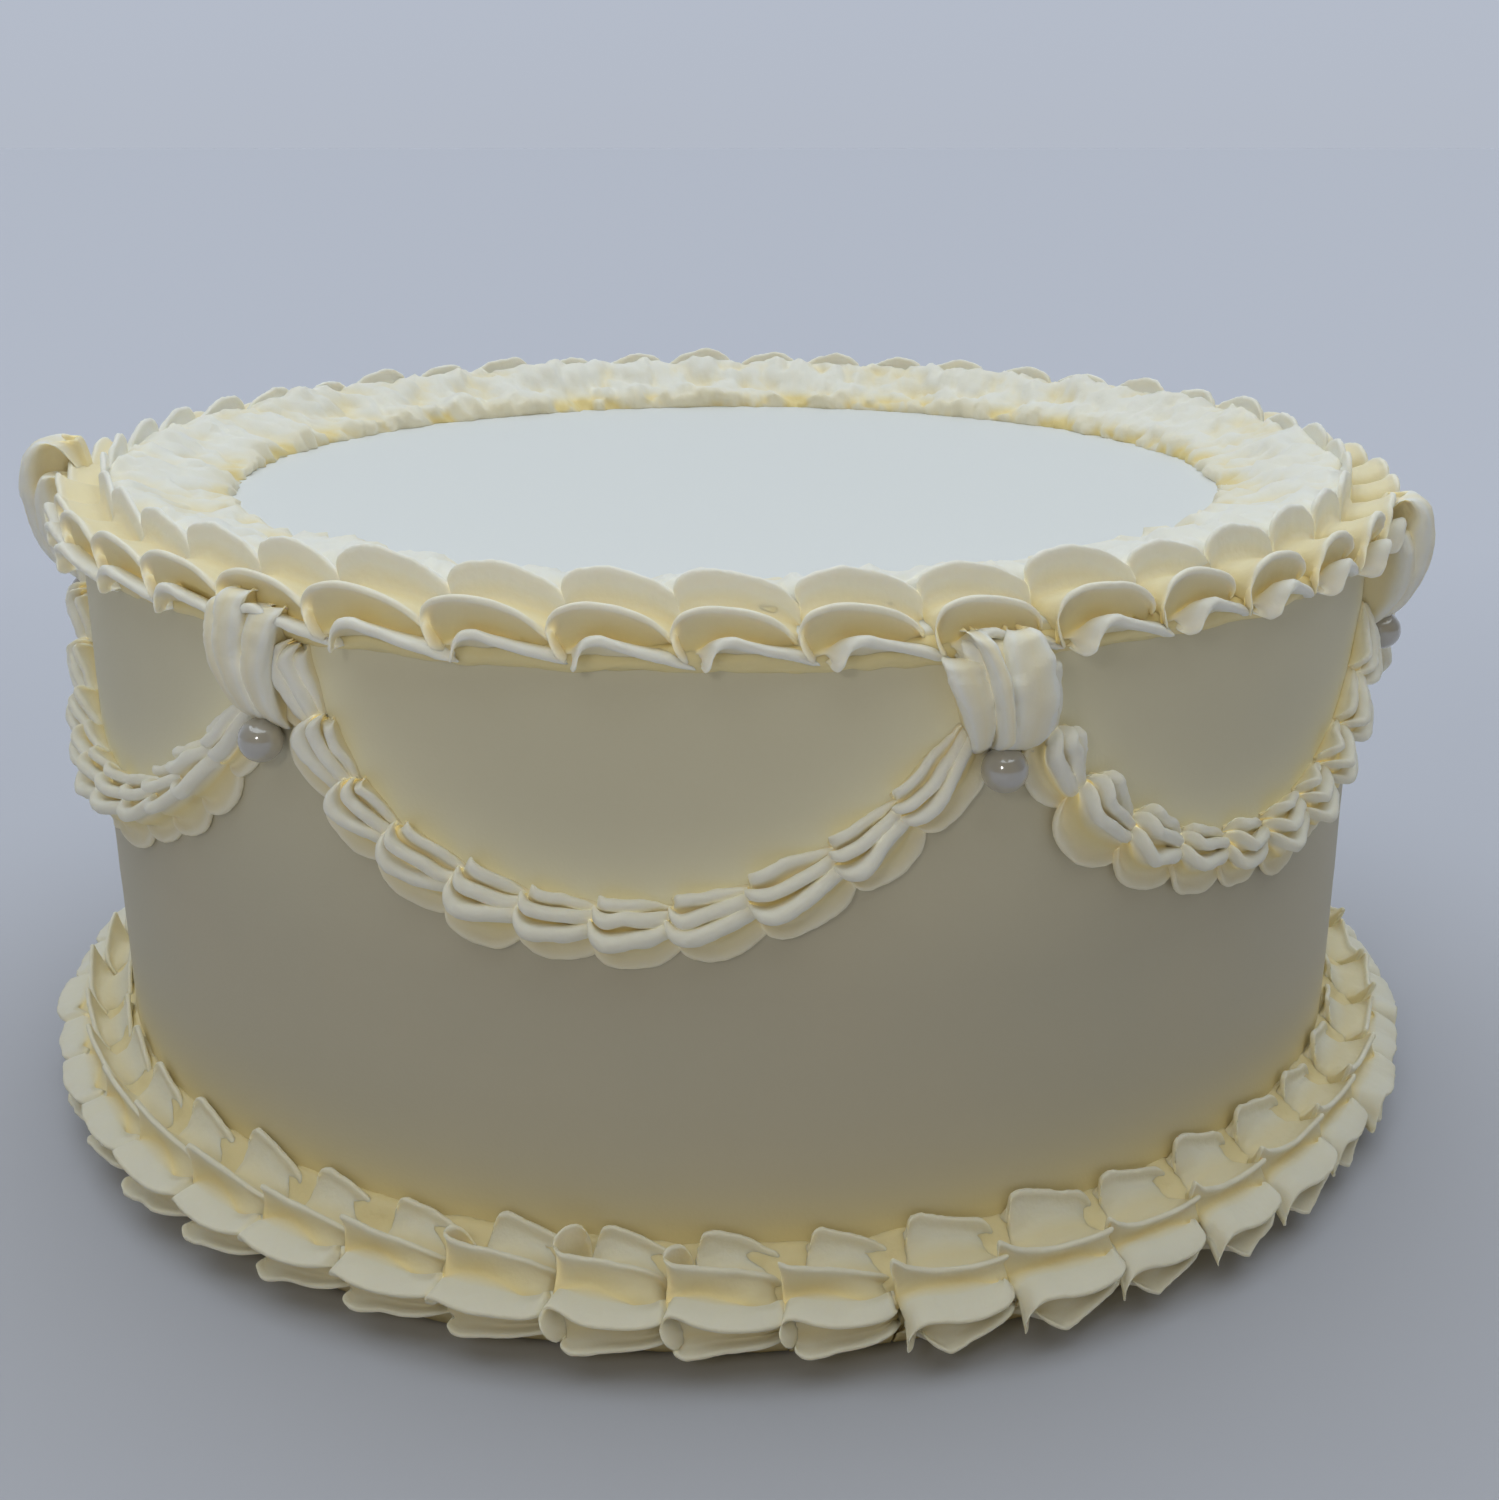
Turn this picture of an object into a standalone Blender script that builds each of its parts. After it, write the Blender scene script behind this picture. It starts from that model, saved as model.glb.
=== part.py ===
"""Vanilla cake iced with buttercream.

A solid round cake stands on its flat base, with its front towards -Y. A border of piped shells
runs round its top edge and another round its foot. Seven swags of smaller shells hang on the
wall. Where two swags meet, a ridged bow of icing covers their ends and holds one sugar pearl.
Places round the cake are given as an azimuth, which is 0 at the front and grows towards +X.
"""
import math
import random

import bmesh
import bpy

MM = 0.001
GAP = 0.3 * MM
MERGE_DISTANCE = 0.01 * MM

# The cake
CAKE_RADIUS = 127.0 * MM
CAKE_HEIGHT = 117.0 * MM
CAKE_SIDES = 80
CAKE_EDGE_ROUND = 1.5 * MM
CAKE_EDGE_STEPS = 2

# Where a shell's ridges stand at each station: (share of the shell's length, share of full swell)
SHELL_STATIONS = ((0.0, 0.25), (0.16, 0.95), (0.42, 1.0), (0.76, 0.58))
SWAG_STATIONS = ((0.0, 0.30), (0.25, 1.0), (0.68, 0.72))

# How far each kind of point on a shell's outline sinks towards the middle where the shell is thin
SINK = {"foot": 0.0, "valley": 0.14, "ridge": 0.42}

# Top border: outline from the cake's top face over the edge and down the wall, (kind, radius, height)
TOP_SHELLS = 43
TOP_PHASE = 0.54
TOP_CENTRE = (119.0 * MM, 118.5 * MM)
TOP_OUTLINE = (
    ("foot", 97.5 * MM, CAKE_HEIGHT + GAP),
    ("ridge", 99.5 * MM, 121.5 * MM),
    ("valley", 102.5 * MM, 121.0 * MM),
    ("ridge", 106.5 * MM, 126.0 * MM),
    ("valley", 110.5 * MM, 124.0 * MM),
    ("ridge", 120.5 * MM, 129.0 * MM),
    ("valley", 124.0 * MM, 122.5 * MM),
    ("ridge", 131.0 * MM, 124.0 * MM),
    ("valley", 130.0 * MM, 118.0 * MM),
    ("ridge", 132.5 * MM, 114.5 * MM),
    ("foot", CAKE_RADIUS + GAP, 111.0 * MM),
    ("foot", CAKE_RADIUS + GAP, CAKE_HEIGHT + GAP),
)

# Base border: outline from the wall outwards and down to the floor, (kind, radius, height)
BASE_SHELLS = 46
BASE_PHASE = 0.4
BASE_CENTRE = (131.0 * MM, 6.0 * MM)
BASE_OUTLINE = (
    ("foot", CAKE_RADIUS + GAP, 19.0 * MM),
    ("ridge", 130.0 * MM, 20.5 * MM),
    ("valley", 132.0 * MM, 16.5 * MM),
    ("ridge", 135.0 * MM, 17.5 * MM),
    ("valley", 136.5 * MM, 12.5 * MM),
    ("ridge", 143.0 * MM, 10.0 * MM),
    ("valley", 139.0 * MM, 7.0 * MM),
    ("ridge", 143.0 * MM, 3.5 * MM),
    ("foot", 139.0 * MM, 0.0),
    ("foot", CAKE_RADIUS + GAP, 0.0),
)

# Swags: 7 round the cake, each hangs from both its bows, lowest in the middle
SWAGS = 7
FIRST_BOW_AZIMUTH = math.radians(18.0)
SWAG_SHELLS = 12
SWAG_HALF_ANGLE = math.radians(21.9)
SWAG_LOW_HEIGHT = 70.0 * MM
SWAG_BOWL_RISE = 20.0 * MM
SWAG_END_RISE = 10.0 * MM
SWAG_END_POWER = 8
SWAG_LINE_STEPS = 400
SWAG_TAPER_SHARE = 0.05
SWAG_END_SIZE = 0.62
SWAG_CENTRE = (0.0, 1.0 * MM)
# Outline of a swag's shell: (kind, place across the swag, distance out of the wall)
SWAG_OUTLINE = (
    ("foot", -4.6 * MM, GAP),
    ("ridge", -5.2 * MM, 4.4 * MM),
    ("valley", -2.2 * MM, 4.6 * MM),
    ("ridge", 0.2 * MM, 7.6 * MM),
    ("valley", 2.2 * MM, 4.8 * MM),
    ("ridge", 5.2 * MM, 5.0 * MM),
    ("foot", 4.6 * MM, GAP),
)

# Bows: two broad petals with a narrow strap between them, (place across, distance out of the back)
BOW_OUTLINE = (
    (-8.0 * MM, 0.0),
    (-8.8 * MM, 3.0 * MM),
    (-6.6 * MM, 6.4 * MM),
    (-3.4 * MM, 6.6 * MM),
    (-2.0 * MM, 4.2 * MM),
    (-0.6 * MM, 8.4 * MM),
    (0.6 * MM, 8.4 * MM),
    (1.8 * MM, 4.6 * MM),
    (3.4 * MM, 7.6 * MM),
    (7.2 * MM, 7.2 * MM),
    (8.8 * MM, 3.4 * MM),
    (8.0 * MM, 0.0),
)
# Stations down a bow: (height, radius of its back, share of full width, share of full thickness)
BOW_STATIONS = (
    (121.0 * MM, 134.0 * MM, 0.72, 0.35),
    (119.5 * MM, 133.6 * MM, 0.92, 0.72),
    (115.5 * MM, 133.6 * MM, 1.0, 0.90),
    (111.0 * MM, 133.2 * MM, 0.98, 0.92),
    (107.0 * MM, 129.6 * MM, 0.86, 1.10),
    (103.0 * MM, CAKE_RADIUS + 2.0 * GAP, 0.60, 1.00),
    (99.8 * MM, CAKE_RADIUS + 2.0 * GAP, 0.40, 0.50),
)

# Pearls
PEARL_RADIUS = 3.5 * MM
PEARL_HEIGHT = 95.8 * MM
PEARL_SUBDIVISIONS = 2

# How unevenly the icing was piped
UNEVEN_SWELL = 0.05
UNEVEN_PITCH = 0.06
SEED = 11

# Finish: colours are linear, and a crease sharper than the crease angle stays crisp
BUTTERCREAM = (0.86, 0.81, 0.64, 1.0)
PEARL_WHITE = (0.66, 0.63, 0.68, 1.0)
SMOOTH_ROUGHNESS = 0.55
PIPED_ROUGHNESS = 0.5
PEARL_ROUGHNESS = 0.25
CREASE_ANGLE = math.radians(60.0)


def clear_scene():
    """Empties the scene of objects."""
    for thing in list(bpy.data.objects):
        bpy.data.objects.remove(thing, do_unlink=True)


def new_collection(name):
    """Makes a collection in the scene."""
    collection = bpy.data.collections.new(name)
    bpy.context.scene.collection.children.link(collection)
    return collection


def new_material(name, colour, roughness):
    """Makes a plain Principled material that isn't metal."""
    material = bpy.data.materials.new(name)
    material.use_nodes = True
    shader = material.node_tree.nodes["Principled BSDF"]
    shader.inputs["Base Color"].default_value = colour
    shader.inputs["Roughness"].default_value = roughness
    shader.inputs["Metallic"].default_value = 0.0
    material.diffuse_color = colour
    return material


def on_ring(azimuth, radius, height):
    """Turns a place round the cake into X, Y and Z."""
    return (radius * math.sin(azimuth), -radius * math.cos(azimuth), height)


def new_object(name, shape, material, collection):
    """Turns a bmesh into a smooth-shaded object with one material."""
    bmesh.ops.recalc_face_normals(shape, faces=shape.faces)
    mesh = bpy.data.meshes.new(name)
    shape.to_mesh(mesh)
    shape.free()
    mesh.shade_smooth()
    mesh.set_sharp_from_angle(angle=CREASE_ANGLE)
    mesh.materials.append(material)
    thing = bpy.data.objects.new(name, mesh)
    collection.objects.link(thing)
    return thing


def loft(rings, closed):
    """Joins rings of points, each one closed outline, into one closed skin."""
    shape = bmesh.new()
    loops = [[shape.verts.new(point) for point in ring] for ring in rings]
    sides = len(loops[0])
    pairs = list(zip(loops, loops[1:]))
    if closed:
        pairs.append((loops[-1], loops[0]))
    for near, far in pairs:
        for side in range(sides):
            after = (side + 1) % sides
            shape.faces.new((near[side], near[after], far[after], far[side]))
    if not closed:
        shape.faces.new(loops[0])
        shape.faces.new(list(reversed(loops[-1])))
    return shape


def swollen(outline, centre, swell):
    """Gives an outline's points where a shell has this share of its full swell."""
    points = []
    for kind, across, out in outline:
        share = 1.0 - SINK[kind] * (1.0 - swell)
        points.append((centre[0] + (across - centre[0]) * share, centre[1] + (out - centre[1]) * share))
    return points


def shell_course(count, stations, rng, closed):
    """Places the stations of a row of shells: (place in shells from the start, share of full swell)."""
    starts = [0.0]
    for _ in range(count):
        starts.append(starts[-1] + 1.0 + rng.uniform(-UNEVEN_PITCH, UNEVEN_PITCH))
    stretch = count / starts[-1]
    course = []
    for shell in range(count):
        size = 1.0 + rng.uniform(-UNEVEN_SWELL, UNEVEN_SWELL)
        start = starts[shell] * stretch
        length = starts[shell + 1] * stretch - start
        for share, swell in stations:
            course.append((start + share * length, swell * size))
    if not closed:
        course.append((float(count), stations[0][1]))
    return course


def cake_profile():
    """Half of the cake's upright section, from the middle of its top out and down to its base."""
    corner = CAKE_RADIUS - CAKE_EDGE_ROUND
    shoulder = CAKE_HEIGHT - CAKE_EDGE_ROUND
    points = [(0.0, CAKE_HEIGHT)]
    for step in range(CAKE_EDGE_STEPS + 1):
        turn = 0.5 * math.pi * (1.0 - step / CAKE_EDGE_STEPS)
        points.append((corner + CAKE_EDGE_ROUND * math.cos(turn), shoulder + CAKE_EDGE_ROUND * math.sin(turn)))
    return points + [(CAKE_RADIUS, 0.0), (0.0, 0.0)]


def make_cake(material, collection):
    """The cake: one solid turned shape with a slightly rounded top edge."""
    mesh = bpy.data.meshes.new("cake")
    points = [(radius, 0.0, height) for radius, height in cake_profile()]
    mesh.from_pydata(points, [(index, index + 1) for index in range(len(points) - 1)], [])
    cake = bpy.data.objects.new("cake", mesh)
    collection.objects.link(cake)
    turning = cake.modifiers.new("turning", "SCREW")
    turning.axis = "Z"
    turning.steps = CAKE_SIDES
    turning.render_steps = CAKE_SIDES
    turning.use_merge_vertices = True
    turning.merge_threshold = MERGE_DISTANCE
    turning.use_smooth_shade = True
    mesh.materials.append(material)
    return cake


def make_border(name, outline, centre, shells, phase, rng, material, collection):
    """A closed ring of shells round the cake, its heads towards smaller azimuths."""
    pitch = 2.0 * math.pi / shells
    rings = []
    for place, swell in shell_course(shells, SHELL_STATIONS, rng, closed=True):
        azimuth = (place + phase) * pitch
        rings.append([on_ring(azimuth, radius, height) for radius, height in swollen(outline, centre, swell)])
    return new_object(name, loft(rings, closed=True), material, collection)


def swag_height(share):
    """Height of a swag's middle line, for a place from -1 to 1 between its two ends."""
    return SWAG_LOW_HEIGHT + SWAG_BOWL_RISE * share ** 2 + SWAG_END_RISE * share ** SWAG_END_POWER


def swag_line():
    """A swag's middle line on the unrolled wall, as (length so far, arc, height)."""
    line = []
    length = 0.0
    for step in range(SWAG_LINE_STEPS + 1):
        share = 2.0 * step / SWAG_LINE_STEPS - 1.0
        arc = share * SWAG_HALF_ANGLE * CAKE_RADIUS
        height = swag_height(share)
        if line:
            length += math.hypot(arc - line[-1][1], height - line[-1][2])
        line.append((length, arc, height))
    return line


def point_along(line, length):
    """Arc, height and direction of the middle line at a length along it."""
    for before, after in zip(line, line[1:]):
        if after[0] >= length:
            break
    step = after[0] - before[0]
    share = min(max((length - before[0]) / step, 0.0), 1.0)
    arc = before[1] + (after[1] - before[1]) * share
    height = before[2] + (after[2] - before[2]) * share
    return arc, height, (after[1] - before[1]) / step, (after[2] - before[2]) / step


def make_swag(name, azimuth, rng, material, collection):
    """One garland of shells on the wall, thinner at both ends."""
    line = swag_line()
    total = line[-1][0]
    rings = []
    for place, swell in shell_course(SWAG_SHELLS, SWAG_STATIONS, rng, closed=False):
        share = place / SWAG_SHELLS
        arc, height, along_arc, along_height = point_along(line, share * total)
        end = min(share, 1.0 - share) / SWAG_TAPER_SHARE
        size = SWAG_END_SIZE + (1.0 - SWAG_END_SIZE) * min(end, 1.0)
        ring = []
        for across, out in swollen(SWAG_OUTLINE, SWAG_CENTRE, swell):
            side = across * size
            lift = GAP + (out - GAP) * size
            turn = azimuth + (arc - side * along_height) / CAKE_RADIUS
            ring.append(on_ring(turn, CAKE_RADIUS + lift, height + side * along_arc))
        rings.append(ring)
    return new_object(name, loft(rings, closed=False), material, collection)


def make_bow(name, azimuth, material, collection):
    """One bow: a ridged loop of icing that hangs from the top border onto the wall."""
    rings = []
    for height, back, width, thickness in BOW_STATIONS:
        ring = []
        for across, out in BOW_OUTLINE:
            radius = back + out * thickness
            ring.append(on_ring(azimuth + across * width / back, radius, height))
        rings.append(ring)
    return new_object(name, loft(rings, closed=False), material, collection)


def make_pearl(name, azimuth, material, collection):
    """One sugar pearl at the foot of a bow."""
    shape = bmesh.new()
    bmesh.ops.create_icosphere(shape, subdivisions=PEARL_SUBDIVISIONS, radius=PEARL_RADIUS)
    pearl = new_object(name, shape, material, collection)
    pearl.location = on_ring(azimuth, CAKE_RADIUS + GAP + PEARL_RADIUS, PEARL_HEIGHT)
    return pearl


def main():
    """Builds every piece."""
    clear_scene()
    collection = new_collection("vanilla_cake")
    rng = random.Random(SEED)
    make_cake(new_material("smooth_buttercream", BUTTERCREAM, SMOOTH_ROUGHNESS), collection)
    piped = new_material("piped_buttercream", BUTTERCREAM, PIPED_ROUGHNESS)
    make_border("top_border", TOP_OUTLINE, TOP_CENTRE, TOP_SHELLS, TOP_PHASE, rng, piped, collection)
    make_border("base_border", BASE_OUTLINE, BASE_CENTRE, BASE_SHELLS, BASE_PHASE, rng, piped, collection)
    pearly = new_material("sugar_pearl", PEARL_WHITE, PEARL_ROUGHNESS)
    between = 2.0 * math.pi / SWAGS
    for index in range(SWAGS):
        bow_azimuth = FIRST_BOW_AZIMUTH + index * between
        make_swag(f"swag_{index + 1}", bow_azimuth - between / 2.0, rng, piped, collection)
        make_bow(f"bow_{index + 1}", bow_azimuth, piped, collection)
        make_pearl(f"pearl_{index + 1}", bow_azimuth, pearly, collection)


main()
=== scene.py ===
"""Looks of the vanilla cake: every piped shell, swag and bow as soft buttercream, with its finish.

Places round the cake are an azimuth, 0 at the front (-Y) and growing towards +X. A piped shell is
a sheaf of thin blades of icing that fan out at its head and draw together in its tail.
"""
import math
import random
from collections import namedtuple

import bpy
import numpy as np
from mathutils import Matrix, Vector, noise


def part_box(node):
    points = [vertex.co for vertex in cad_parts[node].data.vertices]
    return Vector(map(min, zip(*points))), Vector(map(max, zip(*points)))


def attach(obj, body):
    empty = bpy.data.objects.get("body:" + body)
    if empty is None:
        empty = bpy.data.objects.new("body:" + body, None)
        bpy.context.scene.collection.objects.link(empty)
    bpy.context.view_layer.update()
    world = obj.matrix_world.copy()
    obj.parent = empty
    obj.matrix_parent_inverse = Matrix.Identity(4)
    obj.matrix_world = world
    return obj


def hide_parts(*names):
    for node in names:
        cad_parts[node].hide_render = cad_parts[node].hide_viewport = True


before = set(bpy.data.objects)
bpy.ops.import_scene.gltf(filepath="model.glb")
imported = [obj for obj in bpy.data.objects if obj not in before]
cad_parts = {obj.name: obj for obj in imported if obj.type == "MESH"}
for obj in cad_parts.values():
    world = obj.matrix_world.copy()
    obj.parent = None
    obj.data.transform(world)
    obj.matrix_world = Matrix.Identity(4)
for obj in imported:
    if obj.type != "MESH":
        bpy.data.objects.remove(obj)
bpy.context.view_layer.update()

MM = 0.001
TURN = 2.0 * math.pi
SEED = 29
TINY = 1e-9

# Sizes that the solids give
CAKE_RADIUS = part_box("cake")[1][0]
CAKE_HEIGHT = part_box("cake")[1][2]
PEARL_RADIUS = (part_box("pearl_1")[1][2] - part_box("pearl_1")[0][2]) / 2.0

# Sizes that the solids repeat from the same design
TOP_SHELLS = 43
TOP_PHASE = 0.54
BASE_SHELLS = 46
BASE_PHASE = 0.40
SWAGS = 7
FIRST_BOW_AZIMUTH = math.radians(18.0)
SWAG_SHELLS = 11
SWAG_HALF_ANGLE = math.radians(24.0)
SWAG_LOW_HEIGHT = 72.2 * MM
SWAG_LEFT_BOWL = 21.5 * MM
SWAG_RIGHT_BOWL = 25.0 * MM
SWAG_LEFT_RISE = 18.0 * MM
SWAG_RIGHT_RISE = 4.0 * MM
SWAG_END_POWER = 8

# Camera: where the photograph was taken from
CAMERA_DISTANCE = 0.3782
CAMERA_HEIGHT = 0.1847
CAMERA_PITCH = math.radians(18.66)
CAMERA_YAW = math.radians(0.67)
CAMERA_LENS = 44.07
CAMERA_SENSOR = 36.0
CAMERA_NEAR = 0.01

# A kind of piped shell. Its section has two coordinates in mm: radius and height round the cake, or
# on a swag the way across it and out from the wall. "core" is its middle, "spine" how far along the
# row it runs, in shells, by time, 0 at its head and 1 at its tail, and "foot" the points that close
# its section behind. "rows" is how many rows of points a shell has, and "uneven" how much shells
# differ; "round" gives domed heads, "ends" is how far a blade's ends bulge. A blade has
#   keys     where its edge runs: (time, place along the row in shells, the two coordinates)
#   curled   the same for a head rolled back, and sagged for a blade that hangs in its middle
#   thick    its thickness, and flank how far its parallel faces reach in, in mm
#   root     where its faces run to
#   groove   the groove after it, by keys too, or share: how far out the groove lies, between the
#            core and the edges beside it
#   swept    how much of the row's sweep its head takes, and late how far that shifts it along
#   tip, face, valley: how pale its edge, its faces and the groove after it are, the less pale the
#            more painted yellow shade; pale: how pale the last two are where they state nothing
TOP_SHELL = {
    "rows": 38, "uneven": 0.05, "core": (120, 115.5),
    "spine": [(0, 0.12), (0.1, 0.09), (0.2, 0.13), (0.38, 0.3), (0.5, 0.47), (0.77, 0.8), (1, 1.16)],
    "foot": [(127.6, 112.8), (126.8, 111.6), (124, 113), (117, 115)],
    "blades": [{
        "thick": 1.1, "root": (122.5, 113), "face": 0.85, "valley": 0.28, "share": 0.52,
        "keys": [
            (0, 0.1, 121, 117), (0.05, 0.02, 121.6, 119.4), (0.1, -0.03, 122, 121.8),
            (0.16, -0.01, 122, 123.6), (0.24, 0.09, 121.9, 125), (0.36, 0.3, 121.7, 125.7),
            (0.5, 0.5, 121.6, 125.3), (0.65, 0.72, 121.7, 124.2), (0.8, 0.88, 121.8, 122.8),
            (0.92, 1.02, 121.9, 120.8), (1, 1.14, 122, 118.4)],
    }, {
        "thick": 1.15, "root": (124.5, 116.5), "flank": 2, "tip": 0.72, "face": 0.34,
        "keys": [
            (0, 0.1, 129.8, 113), (0.05, 0.04, 130.7, 114.4), (0.09, 0, 131, 116.2),
            (0.13, -0.02, 131.2, 118), (0.17, 0, 131.4, 119.7), (0.22, 0.06, 131.3, 121.1),
            (0.28, 0.15, 131.2, 121.9), (0.38, 0.28, 131, 122.35), (0.5, 0.46, 130.8, 122.1),
            (0.64, 0.64, 130.5, 121.3), (0.77, 0.8, 130.2, 119.9), (0.87, 0.91, 129.6, 118),
            (0.94, 0.97, 128.4, 116.4), (1, 1.02, 126.8, 115)],
        "groove": {
            "keys": [
                (0, 0.12, 128.6, 112.8), (0.1, 0.05, 129.2, 114), (0.22, 0.14, 129, 115.2),
                (0.42, 0.44, 128.5, 115.8), (0.7, 0.74, 128.2, 115), (0.88, 0.96, 128, 113.8),
                (1, 1.14, 126.6, 113)],
        },
    }, {
        "thick": 1.6, "root": (126, 115), "flank": 3.6, "share": 0,
        "keys": [
            (0, 0.22, 128.2, 112.8), (0.08, 0.21, 130.8, 112.8), (0.15, 0.25, 132.4, 112.9),
            (0.2, 0.29, 133.1, 113.8), (0.25, 0.31, 133.3, 115.4), (0.31, 0.36, 133.3, 117),
            (0.38, 0.46, 133, 117.6), (0.48, 0.58, 132.5, 116.8), (0.63, 0.78, 131.7, 115.4),
            (0.8, 0.97, 130.8, 114), (0.92, 1.1, 129.8, 112.9), (1, 1.2, 128.6, 112.3)],
    }],
}

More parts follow.
